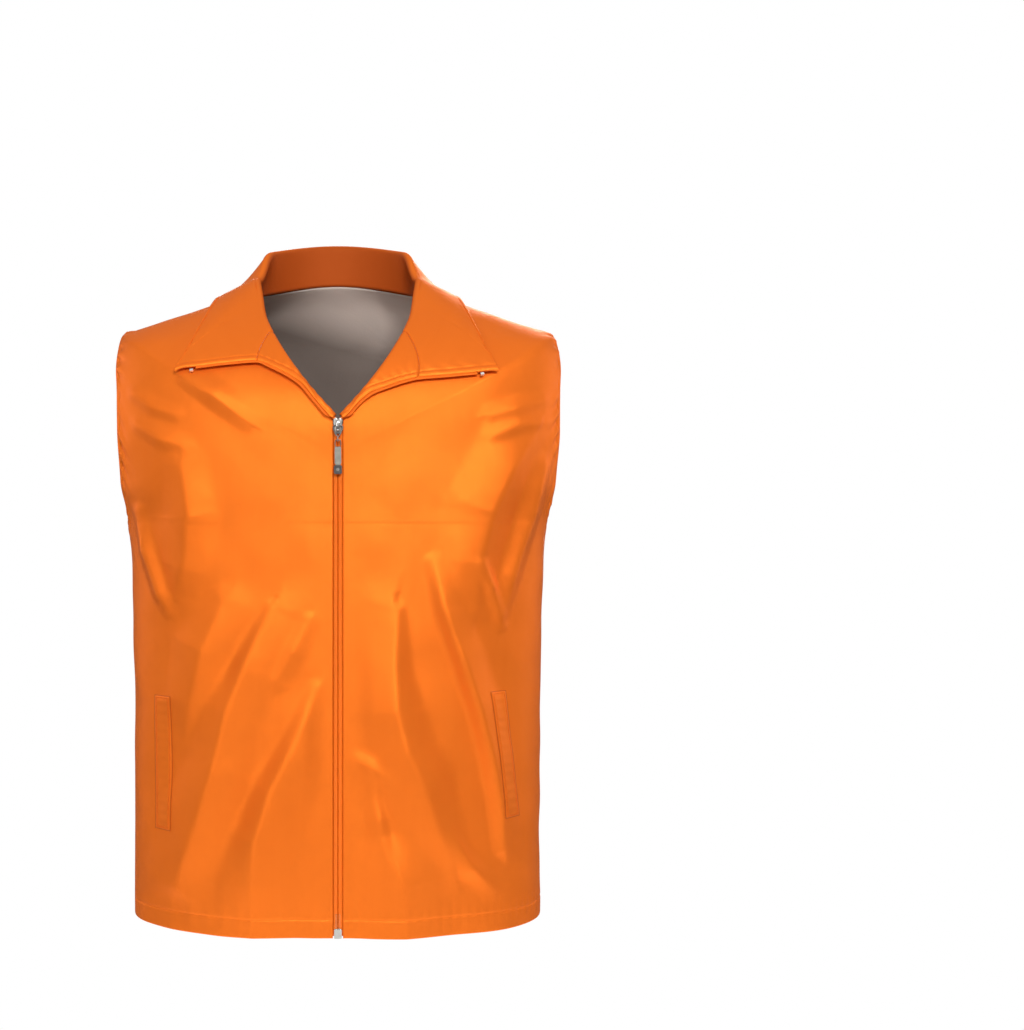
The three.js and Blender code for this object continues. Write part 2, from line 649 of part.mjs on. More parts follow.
function sliderBody() {
  const corner = 2;
  const face = ({ frontY, backY }) => (
    plate(SLIDER_WIDTH, SLIDER_BOTTOM_Z, SLIDER_TOP_Z, corner, frontY, backY));
  const overlap = 0.1;
  const flangeWidth = SLIDER_WIDTH / 2 - FLANGE_INNER_X;
  const flangeX = FLANGE_INNER_X + flangeWidth / 2;
  const flangeBackY = -FRONT_DEPTH + 1;
  const flangeDepth = flangeBackY - FRONT_PLATE.backY + overlap;
  const flangeY = FRONT_PLATE.backY - overlap + flangeDepth / 2;
  const flangeLength = SLIDER_LENGTH - 2 * corner;
  const middleZ = (SLIDER_TOP_Z + SLIDER_BOTTOM_Z) / 2;
  const flanges = [-1, 1].map((side) => (
    box(side * flangeX, flangeY, middleZ, flangeWidth, flangeDepth, flangeLength)));
  const postDepth = BACK_PLATE.frontY - FRONT_PLATE.backY + 2 * overlap;
  const postY = (BACK_PLATE.frontY + FRONT_PLATE.backY) / 2;
  const post = box(0, postY, SLIDER_TOP_Z - 1 - POST_LENGTH / 2, POST_WIDTH, postDepth, POST_LENGTH);
  const pieces = [face(BACK_PLATE), ...flanges, post];
  const front = toManifold(face(FRONT_PLATE));
  const whole = pieces.reduce((solid, piece) => solid.add(toManifold(piece)), front);
  return fromManifold(whole);
}

// The arch that the puller hangs in. Drawn from the side and extruded across.
function sliderBridge() {
  const [footY, crownY] = [FRONT_PLATE.frontY - GAP, FRONT_PLATE.frontY - 4.4];
  const [topZ, bottomZ] = [SLIDER_TOP_Z - 1.5, SLIDER_BOTTOM_Z + 2.5];
  const leg = 1.6;
  const slope = 2;
  const width = 2.8;
  const side = new THREE.Shape();
  side.moveTo(footY, topZ);
  side.lineTo(crownY, topZ - slope);
  side.lineTo(crownY, bottomZ + slope);
  side.lineTo(footY, bottomZ);
  side.lineTo(footY, bottomZ + leg);
  side.lineTo(crownY + leg, bottomZ + leg + slope);
  side.lineTo(crownY + leg, topZ - leg - slope);
  side.lineTo(footY, topZ - leg);
  side.closePath();
  const geometry = new THREE.ExtrudeGeometry(side, { depth: width, bevelEnabled: false });
  geometry.applyMatrix4(new THREE.Matrix4().makeBasis(point(0, 1, 0), point(0, 0, 1), point(1, 0, 0)));
  return geometry.translate(-width / 2, 0, 0);
}

// The leaf spring that locks the slider lies on the front plate under the bridge.
const lockSpring = () => {
  const thickness = 0.3;
  const y = FRONT_PLATE.frontY - GAP - thickness / 2;
  const [bottom, top] = [SLIDER_BOTTOM_Z + 5, SLIDER_TOP_Z - 4];
  return box(0, y, (bottom + top) / 2, 1.6, thickness, top - bottom);
};

const LINK_WIRE = 0.6;
const EYE_WIRE = 0.5;
const EYE_RADIUS = 1.55;
const STEM_WIDTH = 1.1;
const STEM_LENGTH = 1.8;

// The wire's corners as x, z: a bar through the arch, then two legs that close to a point.
const LINK_CORNERS = [
  [-3.6, LINK_PIVOT_Z], [3.6, LINK_PIVOT_Z],
  [4.6, -155.4], [2.4, -161], [0, -163.6], [-2.4, -161], [-4.6, -155.4],
];

function pullerLink() {
  const loop = toManifold(wireLoop(LINK_CORNERS, LINK_WIRE, 26));
  const eye = new THREE.TorusGeometry(EYE_RADIUS, EYE_WIRE, 8, 20);
  eye.rotateY(RIGHT_ANGLE).translate(0, PULLER_Y, TAB_PIVOT_Z);
  const stem = box(0, PULLER_Y, TAB_PIVOT_Z + EYE_RADIUS + 0.8, STEM_WIDTH, STEM_WIDTH, STEM_LENGTH);
  return fromManifold(loop.add(toManifold(stem)).add(toManifold(eye)));
}

const TAB = { width: 6.3, top: -173.4, bottom: -191, thickness: 1.3 };
const TONGUE = { width: 4.6, bottom: -198, thickness: 0.7 };
const CAP = { width: 7.7, top: -190.6, bottom: -199.8, thickness: 2.4 };
const RIVET = { z: -195.4, shank: 0.9, head: 1.7, headDepth: 0.7 };

// The wire eye at the head of the tab, as x, z.
const TAB_EYE_CORNERS = [
  [-1.9, TAB_PIVOT_Z], [1.9, TAB_PIVOT_Z],
  [2.7, -169.2], [2.4, -173.2], [0, -173.9], [-2.4, -173.2], [-2.7, -169.2],
];

const acrossY = (radius, length, y, z) => (
  new THREE.CylinderGeometry(radius, radius, length, 16).translate(0, y, z));
const throughBore = (radius) => toManifold(acrossY(radius, 8, PULLER_Y, RIVET.z));

function pullerPlate() {
  const eye = toManifold(wireLoop(TAB_EYE_CORNERS, EYE_WIRE, 22));
  const half = TAB.thickness / 2;
  const blade = plate(TAB.width, TAB.bottom + 0.7, TAB.top, 1.2, PULLER_Y - half, PULLER_Y + half);
  const thin = TONGUE.thickness / 2;
  const tongue = plate(TONGUE.width, TONGUE.bottom, TAB.bottom + 3, 0.8, PULLER_Y - thin, PULLER_Y + thin);
  const solid = eye.add(toManifold(blade)).add(toManifold(tongue));
  return fromManifold(solid.subtract(throughBore(RIVET.shank + GAP)));
}

function pullerEndCap() {
  const half = CAP.thickness / 2;
  const cap = toManifold(plate(CAP.width, CAP.bottom, CAP.top - 0.6, 1.6, PULLER_Y - half, PULLER_Y + half));
  const slotHeight = CAP.top - TONGUE.bottom + GAP;
  const slot = box(
    0,
    PULLER_Y,
    CAP.top - slotHeight / 2 + 0.01,
    TONGUE.width + 2 * GAP,
    TONGUE.thickness + 2 * GAP,
    slotHeight,
  );
  return fromManifold(cap.subtract(toManifold(slot)).subtract(throughBore(RIVET.shank + GAP)));
}

function pullerRivet() {
  const half = CAP.thickness / 2 + GAP;
  const shank = toManifold(acrossY(RIVET.shank, 2 * half + 0.2, PULLER_Y, RIVET.z));
  const heads = [-1, 1].map((side) => {
    const y = PULLER_Y + side * (half + RIVET.headDepth / 2);
    return toManifold(acrossY(RIVET.head, RIVET.headDepth, y, RIVET.z));
  });
  return fromManifold(shank.add(heads[0]).add(heads[1]));
}

// ---- assembly -----------------------------------------------------------------------------------

const vest = new THREE.Group();

function add(name, geometry, material, parent = vest) {
  const mesh = new THREE.Mesh(geometry, material);
  mesh.name = name;
  parent.add(mesh);
}

const SIDES = [['left', 1], ['right', -1]];

add('back_panel', backCloth(SHELL_LAYER), ORANGE_CLOTH);
add('back_lining', backCloth(LINING_LAYER), GREY_LINING);
for (const [name, side] of SIDES) {
  add(`front_panel_${name}`, frontCloth(side, FRONT_EDGE_X, true, 8, SHELL_LAYER), ORANGE_CLOTH);
  add(`front_facing_${name}`, frontCloth(side, FRONT_EDGE_X, false, 2, LINING_LAYER), ORANGE_CLOTH);
  add(`front_lining_${name}`, liningCloth(side), GREY_LINING);
  add(`armhole_binding_${name}`, armholeBinding(side), ORANGE_CLOTH);
  add(`pocket_welt_${name}`, pocketWelt(POCKETS[name]), ORANGE_CLOTH);
  add(`pocket_bag_${name}`, pocketBag(POCKETS[name]), GREY_LINING);
  add(`lapel_facing_${name}`, clothOver(lapelCells(name), TOP_COLLAR_LAYER), ORANGE_CLOTH);
  add(`lapel_outer_${name}`, clothOver(lapelCells(name), UNDER_COLLAR_LAYER), ORANGE_CLOTH);
  add(`zip_tape_${name}`, tape(side), ORANGE_TAPE);
  add(`zip_coil_${name}`, coil(side, name), ORANGE_COIL);
  add(`zip_top_stop_${name}`, topStop(side, name), NICKEL);
}
add('upper_collar', clothOver(collarCells(), TOP_COLLAR_LAYER), ORANGE_CLOTH);
add('collar_interlining', clothOver(collarCells(), COLLAR_CORE_LAYER), WHITE_CORE);
add('under_collar', clothOver(collarCells(), UNDER_COLLAR_LAYER), ORANGE_CLOTH);
add('zip_retainer_pin', bottomPin(1), NICKEL);
add('zip_insertion_pin', bottomPin(-1), NICKEL);
add('zip_retainer_box', retainerBox(), NICKEL);

const slider = new THREE.Group();
vest.add(slider);
add('slider_body', sliderBody(), NICKEL, slider);
add('slider_bridge', sliderBridge(), NICKEL, slider);
add('slider_lock_spring', lockSpring(), NICKEL, slider);
add('puller_link', pullerLink(), NICKEL, slider);
add('puller_plate', pullerPlate(), GREY_METAL, slider);
add('puller_end_cap', pullerEndCap(), DARK_NICKEL, slider);
add('puller_rivet', pullerRivet(), NICKEL, slider);

export default vest;
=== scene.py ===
import math

import bmesh
import bpy
import numpy as np
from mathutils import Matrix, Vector


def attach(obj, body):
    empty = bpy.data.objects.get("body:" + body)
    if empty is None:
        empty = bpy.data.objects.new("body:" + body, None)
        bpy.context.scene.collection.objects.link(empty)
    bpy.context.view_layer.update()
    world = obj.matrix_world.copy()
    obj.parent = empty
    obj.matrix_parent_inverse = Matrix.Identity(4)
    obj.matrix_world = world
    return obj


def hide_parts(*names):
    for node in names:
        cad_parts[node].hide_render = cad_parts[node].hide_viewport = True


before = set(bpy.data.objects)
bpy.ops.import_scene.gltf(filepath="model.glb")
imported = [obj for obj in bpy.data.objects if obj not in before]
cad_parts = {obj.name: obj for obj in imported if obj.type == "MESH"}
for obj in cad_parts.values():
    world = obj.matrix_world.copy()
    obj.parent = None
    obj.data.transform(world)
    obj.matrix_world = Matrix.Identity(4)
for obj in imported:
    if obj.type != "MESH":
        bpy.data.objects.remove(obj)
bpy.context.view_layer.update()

# A lined, sleeveless zip-front vest in blaze orange taffeta. The surface functions work in millimetres in
# the frame of the CAD (front towards -Y, +X the wearer's left, origin at the neck) and repeat its torso
# and collar; meshes are made in metres.
MM = 0.001
MIRROR = np.array([-1, 1, 1])

# ---- driving dimensions, as in the CAD ----------------------------------------------------------
HEM_Z = -650.0
UNDERARM_Z = -248.0
TIP_Z = -51.0
TIP_X = 222.6
NECK_HALF = 88.0
FRONT_DEPTH = 130.0
UNDERARM = 0.54
TIP = 0.81
QUARTER = math.pi / 2
FRONT_EDGE_X = 4.9
FACING_WIDTH = 60.0
ARMHOLE_SWEEP = math.radians(22)
ARMHOLE_MIDDLE = (UNDERARM + TIP) / 2
ARMHOLE_RISE = (TIP - UNDERARM) / 2
BINDING_SWEEP = math.radians(3.2)
BINDING_RISE = 0.012
ARMHOLE_HALF_WIDE = 62.0
ARMHOLE_HALF_TALL = 100.0
COLLAR_STAND = 40.0
ROLL_HEIGHT = 5.5
ROLL_RADIUS = 3.25
LEAF_LIFT = 4.5
STAND_SET_BACK = 2.0
COLLAR_RING = 0.945
HEM_STITCH = 18.0
ARMHOLE_STITCH = 7.0
WELT_STITCH = 2.6
COLLAR_STITCH = 6.6


# ---- camera -------------------------------------------------------------------------------------
def make_camera():
    """Straight in front, 1.7 m away, at mid height, with the vest left of the middle."""
    data = bpy.data.cameras.new("camera")
    data.sensor_width = 36
    data.lens = 56.6
    data.shift_x = 0.169
    camera = bpy.data.objects.new("camera", data)
    camera.location = (0, -1.7, -0.2394)
    camera.rotation_euler = (math.pi / 2, 0, 0)
    bpy.context.scene.collection.objects.link(camera)
    bpy.context.scene.camera = camera


make_camera()


# ---- mathematics --------------------------------------------------------------------------------
def smooth_through(keys, values):
    """A smooth curve through the keys that never overshoots them (monotone cubic)."""
    keys = np.asarray(keys, float)
    values = np.asarray(values, float)
    steps = np.diff(keys)
    slopes = np.diff(values) / steps
    product = slopes[:-1] * slopes[1:]
    total = slopes[:-1] + slopes[1:]
    inner = np.where(product <= 0, 0, 2 * product / np.where(total == 0, 1, total))
    tangents = np.concatenate([[slopes[0]], inner, [slopes[-1]]])

    def curve(at):
        at = np.clip(np.asarray(at, float), keys[0], keys[-1])
        k = np.clip(np.searchsorted(keys, at, side="right") - 1, 0, len(steps) - 1)
        t = (at - keys[k]) / steps[k]
        ends = values[k] * (1 + 2 * t) * (1 - t) ** 2 + values[k + 1] * t * t * (3 - 2 * t)
        lean = tangents[k] * t * (1 - t) ** 2 + tangents[k + 1] * t * t * (t - 1)
        return ends + lean * steps[k]

    return curve


def smoothstep(x, low, high):
    t = np.clip((np.asarray(x, float) - low) / (high - low), 0, 1)
    return t * t * (3 - 2 * t)


def signed_power(value, power):
    return np.sign(value) * np.abs(value) ** power


def unit(v):
    return v / np.maximum(np.linalg.norm(v, axis=-1, keepdims=True), 1e-9)


def bell(x, middle, width):
    return np.exp(-(((x - middle) / width) ** 2))


def running_length(points, axis=0):
    """The way along a path, or along a grid's columns (0) or rows (1), from 0."""
    steps = np.linalg.norm(np.diff(points, axis=axis), axis=-1)
    return np.concatenate([np.zeros_like(steps.take([0], axis)), steps.cumsum(axis)], axis)


def circle(a, b, sides):
    turn = np.linspace(0, 2 * math.pi, sides, endpoint=False)[:, None]
    return np.cos(turn) * a + np.sin(turn) * b


# ---- the torso surface --------------------------------------------------------------------------
LEVELS = [0, 0.27, 0.45, UNDERARM, 0.6, 0.675, 0.75, 0.79, TIP, 0.83, 0.9, 1]
WIDTHS = [210, 210, 212, 217, 231, 238.5, 236, 229.5, TIP_X, 209, 158.5, NECK_HALF]
LOW_Z = [HEM_Z, -449, -315, UNDERARM_Z]
half_width = smooth_through(LEVELS, WIDTHS)
side_z = smooth_through(LEVELS, LOW_Z + [-204, -148, -93, -63, TIP_Z, -46, -28.5, -4])
front_z = smooth_through(LEVELS, LOW_Z + [-227, -207, -190, -182, -178, -175, -166, -153])
back_z = smooth_through(LEVELS, LOW_Z + [-203, -151, -102, -75, -62, -49, -11, 14])
back_depth = smooth_through(LEVELS, [112, 110, 113, 116, 118, 118.5, 116, 113.5, 112, 110, 98, 75])
squareness = smooth_through([0, UNDERARM, TIP, 1], [2.5, 2.5, 2.4, 2])
dip_power = smooth_through([0, UNDERARM, 1], [1, 1, 0.61])


def torso_face(around, up):
    """The outer face of the body cloth. around is 0 at centre front and pi at centre back; up is 0 at the
    hem and 1 at the neck seam."""
    around, up = np.broadcast_arrays(np.asarray(around, float), np.asarray(up, float))
    power = 2 / squareness(up)
    across = signed_power(np.sin(around), power)
    forward = signed_power(np.cos(around), power)
    dip = np.maximum(1 - np.abs(across), 0) ** dip_power(up)
    side = side_z(up)
    z_front = side + (front_z(up) - side) * dip
    z_back = side + (back_z(up) - side) * (1 - across**2)
    depth = np.where(forward >= 0, FRONT_DEPTH, back_depth(up))
    return np.stack([half_width(up) * across, -depth * forward, np.where(forward >= 0, z_front, z_back)], -1)


def torso_normal(around, up):
    low, high = np.maximum(up - 0.002, 0), np.minimum(up + 0.002, 1)
    along = torso_face(around + 0.004, up) - torso_face(around - 0.004, up)
    return unit(np.cross(along, torso_face(around, high) - torso_face(around, low)))


def around_at_x(x, up):
    return np.arcsin(np.clip(x / half_width(up), 0, 1) ** (squareness(up) / 2))


def angle_from_front(around):
    """0 at centre front, pi at centre back, the same on both sides."""
    return np.arccos(np.clip(np.cos(around), -1, 1))


def armhole_distance(around, up):
    """Millimetres outside the armhole's edge, and the way round it in radians."""
    across = (QUARTER - angle_from_front(around)) / ARMHOLE_SWEEP
    rise = (up - ARMHOLE_MIDDLE) / ARMHOLE_RISE
    turn = np.arctan2(rise, across)
    return (np.hypot(across, rise) - 1) * armhole_radius(turn), turn


def armhole_radius(turn):
    return np.hypot(ARMHOLE_HALF_WIDE * np.cos(turn), ARMHOLE_HALF_TALL * np.sin(turn))


# ---- folds --------------------------------------------------------------------------------------
CREST_ROUND = 1.4
FOLD_END = 24.0
FOLD_DEPTH = 2.0
BACK_FOLD_DEPTH = 0.85


def fold(x, z, facet, back, line):
    """One fold: a rounded crest along a line of (x, z, width, height). On the side named by facet (1 is to
    the left of the way the line runs) the cloth drops over width; on the other it eases down over back."""
    line = np.asarray(line, float)
    nearest = np.full(np.shape(x), 1e9)
    offset, width, height = (np.zeros(np.shape(x)) for _ in range(3))
    last = len(line) - 2
    for k, (start, end) in enumerate(zip(line[:-1], line[1:])):
        length = math.hypot(end[0] - start[0], end[1] - start[1])
        step = (end[:2] - start[:2]) / length
        along = (x - start[0]) * step[0] + (z - start[1]) * step[1]
        t = np.clip(along, 0, length)
        gap = np.hypot(x - start[0] - step[0] * t, z - start[1] - step[1] * t)
        before = np.maximum(-along, 0) if k == 0 else 0
        after = np.maximum(along - length, 0) if k == last else 0
        side = np.sign(-step[1] * (x - start[0]) + step[0] * (z - start[1])) * facet
        nearer = gap < nearest
        nearest = np.where(nearer, gap, nearest)
        offset = np.where(nearer, gap * side, offset)
        width = np.where(nearer, start[2] + (end[2] - start[2]) * t / length, width)
        ends = bell(before + after, 0, FOLD_END)
        height = np.where(nearer, (start[3] + (end[3] - start[3]) * t / length) * ends, height)
    span = np.where(offset > 0, width, back)
    drop = 1 - (np.sqrt(offset**2 + CREST_ROUND**2) - CREST_ROUND) / span
    return height * (drop + np.sqrt(drop**2 + 0.03)) / 2


def waves(face, count, wavelength, slant, seed):
    """Gentle undulation across the body: slant 0 gives upright folds, more leans and crosses them."""
    local = np.random.default_rng(seed)
    total = np.zeros(face.shape[:-1])
    for _ in range(count):
        heading = local.uniform(0, 2 * math.pi)
        lean = local.normal(0, 1) * slant
        length = wavelength * local.uniform(0.7, 1.5)
        phase = local.uniform(0, 2 * math.pi)
        flat = math.cos(lean)
        way = np.array([math.cos(heading) * flat, math.sin(heading) * flat, math.sin(lean)])
        total = total + np.sin(face @ way * 2 * math.pi / length + phase)
    return total / math.sqrt(count)


# Folds: which side drops, how far the other side eases, then the crest as x, z, width, height. On the front
# x is the wearer's left; on the back it is to the right of someone looking at the back.
FRONT_FOLDS = [
    (-1, 42, [(-20, -408, 9, 1.5), (-46, -470, 14, 4.5), (-64, -508, 18, 6), (-79, -558, 26, 7.5),
              (-81, -600, 42, 8.5), (-82, -660, 46, 8)]),
    (-1, 34, [(-64, -330, 8, 1.5), (-88, -384, 14, 4.5), (-106, -432, 22, 6.5), (-119, -490, 34, 8),
              (-133, -535, 40, 7), (-158, -605, 40, 4)]),
    (-1, 28, [(-110, -325, 20, 2), (-130, -372, 34, 5), (-143, -425, 30, 4), (-150, -460, 20, 1)]),
    (-1, 16, [(-150, -106, 8, 1.2), (-120, -123, 13, 2.8), (-88, -148, 10, 1.2)]),
    (-1, 26, [(-152, -192, 20, 2), (-143, -240, 34, 5), (-150, -292, 26, 4), (-158, -318, 12, 1)]),
    (-1, 9, [(-201, -236, 7, 1.5), (-191, -275, 9, 4), (-176, -318, 9, 3), (-168, -335, 8, 1)]),
    (1, 40, [(57, -332, 8, 1.5), (55, -385, 16, 4.5), (56, -430, 26, 7), (66, -468, 30, 7.5),
             (80, -502, 32, 7), (96, -545, 26, 5), (112, -585, 20, 2)]),
    (1, 8, [(92, -285, 10, 1), (102, -330, 18, 4), (118, -378, 26, 6), (134, -428, 26, 6.5),
            (147, -478, 24, 6), (156, -520, 22, 5), (163, -570, 20, 2)]),
    (1, 40, [(50, -548, 14, 0.3), (62, -600, 40, 4.5), (66, -660, 50, 6.5)]),
    (1, 14, [(30, -488, 6, 0.2), (40, -535, 8, 2.6), (48, -582, 8, 0.3)]),
    (1, 42, [(194, -158, 14, 2), (168, -195, 26, 6), (148, -235, 30, 7), (136, -285, 26, 5),
             (134, -330, 20, 2)]),
    (1, 13, [(206, -190, 8, 1.5), (192, -235, 12, 4.5), (172, -300, 12, 3.5), (165, -335, 8, 1)]),
    (1, 8, [(140, -288, 6, 1), (149, -310, 9, 3), (162, -348, 8, 1)]),
    (1, 12, [(108, -548, 8, 0.3), (132, -586, 12, 3), (160, -616, 10, 0.3)]),
    (-1, 12, [(150, -142, 8, 1), (176, -134, 9, 1.8), (204, -126, 8, 1.2)]),
    (-1, 12, [(152, -160, 8, 1), (178, -150, 9, 1.8), (206, -146, 8, 1.2)]),
    (-1, 12, [(-200, -150, 8, 1.2), (-176, -164, 9, 1.8), (-150, -172, 8, 0.8)]),
    (-1, 10, [(-204, -118, 8, 1.2), (-184, -132, 9, 1.6), (-160, -140, 8, 0.8)]),
    (1, 16, [(12, -474, 8, 1), (28, -482, 10, 2), (46, -498, 8, 0.8)]),
    (-1, 14, [(-28, -340, 6, 0.8), (-44, -372, 8, 1.8), (-58, -400, 6, 0.8)]),
]
BACK_FOLDS = [
    (-1, 14, [(80, -218, 8, 2), (98, -245, 14, 5), (120, -266, 18, 6.5), (150, -272, 16, 5),
              (182, -258, 8, 2)]),
    (1, 30, [(112, -330, 20, 2), (132, -420, 22, 4), (128, -500, 24, 6), (120, -570, 34, 8),
             (119, -660, 36, 8)]),
    (1, 10, [(176, -300, 8, 2), (164, -370, 12, 5), (153, -430, 14, 6), (147, -500, 14, 5),
             (146, -570, 10, 2)]),
    (-1, 16, [(-116, -238, 6, 1.5), (-132, -272, 14, 5), (-148, -310, 14, 2)]),
    (-1, 25, [(-62, -330, 10, 1.5), (-82, -388, 16, 4), (-106, -455, 14, 1.5)]),
    (-1, 30, [(-150, -440, 20, 1.5), (-144, -520, 30, 5), (-138, -590, 34, 7), (-136, -660, 34, 7)]),
    (1, 26, [(6, -180, 16, 1), (12, -280, 22, 2.6), (16, -400, 30, 2)]),
    (-1, 26, [(-20, -190, 14, 1.5), (-22, -300, 20, 2.6), (-18, -420, 20, 1)]),
    (1, 14, [(66, -44, 10, 2), (90, -80, 14, 3.5), (145, -112, 14, 3), (196, -160, 10, 2)]),
    (-1, 12, [(100, -50, 10, 1.5), (150, -84, 12, 2.5), (196, -122, 10, 1.5)]),
    (1, 20, [(-190, -114, 10, 1.5), (-150, -94, 14, 3), (-80, -74, 14, 3), (-20, -58, 10, 1.5)]),
    (-1, 18, [(24, -530, 14, 1), (28, -600, 20, 3.5), (28, -660, 20, 3.5)]),
    (1, 20, [(62, -300, 14, 1), (72, -400, 18, 2.4), (76, -520, 18, 2)]),
]


def relief(around, up, face):
    """How far the cloth stands proud of the smooth torso there, in millimetres."""
    x, y, z = face[..., 0], face[..., 1], face[..., 2]
    facing = smoothstep(np.abs(np.cos(around)), 0.06, 0.5)
    front = sum(fold(x, z, *item) for item in FRONT_FOLDS)
    back = sum(fold(-x, z, *item) for item in BACK_FOLDS)
    drawn = np.where(y < 0, front * FOLD_DEPTH, back * BACK_FOLD_DEPTH) * facing
    drawn = drawn * (1 - 0.5 * smoothstep(-z, 555, 655))
    soft = 0.9 * waves(face, 9, 130, 0.25, 11) + 0.35 * waves(face, 12, 55, 0.7, 12)
    calm = np.where(y < 0, smoothstep(np.abs(x), 6, 34), 1)
    below_neck = smoothstep(1 - up, 0.0, 0.12)
    flutes = 1.0 * waves(face, 7, 95, 0.0, 13) * smoothstep(-z, 430, 650)
    edge, turn = armhole_distance(around, up)
    lopsided = np.where(x > 0, 0.0, 2.1)
    ripple = np.sin(turn * 31 + 1.4 * np.sin(turn * 5 + lopsided) + edge * 0.25)
    pull = bell(edge, 0, 16) * smoothstep(edge, 0, ARMHOLE_STITCH)
    pucker = 2.1 * pull * ripple * (0.6 + 0.4 * np.sin(turn * 7 + 1 + lopsided))
    near_hem = bell(z - HEM_Z, HEM_STITCH, 12)
    hem_pucker = 0.3 * near_hem * np.sin((x + 0.7 * y) * 2 * math.pi / 11 + 2 * np.sin(x / 40))
    return (drawn + soft + flutes) * calm * below_neck + pucker * below_neck + hem_pucker


def groove(distance, at, depth=0.55, width=0.8):
    return -depth * bell(distance, at, width)


def cloth(around, up, lift=0.0, side=1, stitched=True):
    """Points of the body cloth at a height above its outer face, folds included."""
    signed = np.where(side > 0, around, -around)
    face = torso_face(signed, up)
    height = relief(signed, up, face) + lift
    if stitched:
        height = height + groove(face[..., 2] - HEM_Z, HEM_STITCH)
        height = height + groove(armhole_distance(signed, up)[0], ARMHOLE_STITCH)
    return face + torso_normal(signed, up) * np.asarray(height)[..., None]


# ---- materials ----------------------------------------------------------------------------------
class Nodes:
    """A small help for writing a material's nodes in order."""

    def __init__(self, name):
        self.material = bpy.data.materials.new(name)
        self.material.use_nodes = True
        self.tree = self.material.node_tree
        self.shader = self.tree.nodes["Principled BSDF"]

    def feed(self, socket, value):
        if isinstance(value, bpy.types.NodeSocket):
            self.tree.links.new(value, socket)
        else:
            socket.default_value = value

    def add(self, kind, links=None, **settings):
        node = self.tree.nodes.new(kind)
        for key, value in settings.items():
            setattr(node, key, value)
        for key, value in (links or {}).items():
            self.feed(node.inputs[key], value)
        return node

    def noise(self, where, scale, detail=2.0, rough=0.5):
        links = {"Vector": where, "Scale": scale, "Detail": detail, "Roughness": rough}
        return self.add("ShaderNodeTexNoise", links).outputs["Fac"]

    def maths(self, operation, a, b):
        return self.add("ShaderNodeMath", {0: a, 1: b}, operation=operation).outputs[0]

    def blend(self, share, low, high):
        return self.add("ShaderNodeMix", {0: share, 6: low, 7: high}, data_type="RGBA").outputs[2]

    def spread(self, value, low, high):
        node = self.add("ShaderNodeMapRange", {"Value": value, "To Min": low, "To Max": high})
        return node.outputs["Result"]

    def stretched(self, where, x, y, z):
        return self.add("ShaderNodeMapping", {"Vector": where, "Scale": (x, y, z)}).outputs["Vector"]

    def bump(self, height, distance, strength=1.0, normal=None):
        links = {"Height": height, "Distance": distance, "Strength": strength}
        if normal is not None:
            links["Normal"] = normal
        return self.add("ShaderNodeBump", links).outputs["Normal"]

    def drive(self, **sockets):
        for key, value in sockets.items():
            self.feed(self.shader.inputs[key.replace("_", " ")], value)
        return self.material


def rgb(red, green, blue):
    return (red, green, blue, 1.0)


def threads(nodes, where, pitch):
    """Height of a plain weave: rows of threads that pass over and under each other."""
    waves_at = 2 * math.pi / pitch
    split = nodes.add("ShaderNodeSeparateXYZ", {"Vector": where})
    warp = nodes.maths("SINE", nodes.maths("MULTIPLY", split.outputs["X"], waves_at), 0.0)
    weft = nodes.maths("SINE", nodes.maths("MULTIPLY", split.outputs["Y"], waves_at), 0.0)
    return nodes.maths("MULTIPLY", warp, weft)


def woven(name, light, dark, pitch, rough, satin, crumple, slub=0.5, painted_shade=None, painted_light=None):
    """A woven cloth: threads, slubs that lift single threads, faint blotches of colour, fine crumples; where
    asked, painted shade from a per-point attribute and painted light towards the top.
    """
    nodes = Nodes(name)
    uv = nodes.add("ShaderNodeUVMap", uv_map="cloth").outputs["UV"]
    place = nodes.add("ShaderNodeTexCoord").outputs["Object"]
    weave = threads(nodes, uv, pitch)
    slubs = nodes.noise(nodes.stretched(uv, 60.0, 1500.0, 1.0), 1.0, 1.0)
    blotch = nodes.noise(place, 14.0, 3.0, 0.6)
    streaks = nodes.noise(nodes.stretched(uv, 110.0, 2.5, 1.0), 1.0, 2.0)
    shade = nodes.maths("ADD", nodes.maths("MULTIPLY", blotch, 0.5), nodes.maths("MULTIPLY", slubs, 0.15))
    shade = nodes.maths("ADD", shade, nodes.maths("MULTIPLY", streaks, 0.35))
    colour = nodes.blend(nodes.spread(shade, 0.0, 1.0), dark, light)
    turned = None
    # Painted shade: the colour is darkened by a per-point attribute, and the satin sheen is turned down
    # there.
    if painted_shade:
        turned = nodes.add("ShaderNodeAttribute", attribute_name="painted_shade").outputs["Fac"]
        colour = nodes.blend(turned, colour, painted_shade)
    # Painted light: the colour lightens higher up and towards the wearer's left.
    if painted_light:
        split = nodes.add("ShaderNodeSeparateXYZ", {"Vector": place})
        height = nodes.maths("ADD", split.outputs["Z"], nodes.maths("MULTIPLY", split.outputs["X"], 0.3))
        rise = nodes.add("ShaderNodeMapRange", {"Value": height, "From Min": -0.055, "From Max": 0.005})
        colour = nodes.blend(rise.outputs["Result"], colour, painted_light)
    fine = nodes.noise(place, 55.0, 4.0, 0.55)
    soft = nodes.bump(streaks, crumple * 0.7, 0.5, nodes.bump(fine, crumple, 0.55))
    lifted = nodes.bump(slubs, 0.00006 * slub, 0.6, soft)
    normal = nodes.bump(weave, 0.00005, 0.5, lifted)
    grain = nodes.spread(nodes.noise(place, 90.0, 2.0), rough - 0.05, rough + 0.06)
    nodes.shader.inputs["Metallic"].default_value = satin
    nodes.shader.inputs["Specular IOR Level"].default_value = 0.15
    nodes.shader.inputs["Specular Tint"].default_value = rgb(*(share**0.4 for share in light[:3]))
    if turned:
        nodes.drive(Metallic=nodes.spread(turned, satin, 0.08))
    return nodes.drive(Base_Color=colour, Roughness=grain, Normal=normal)


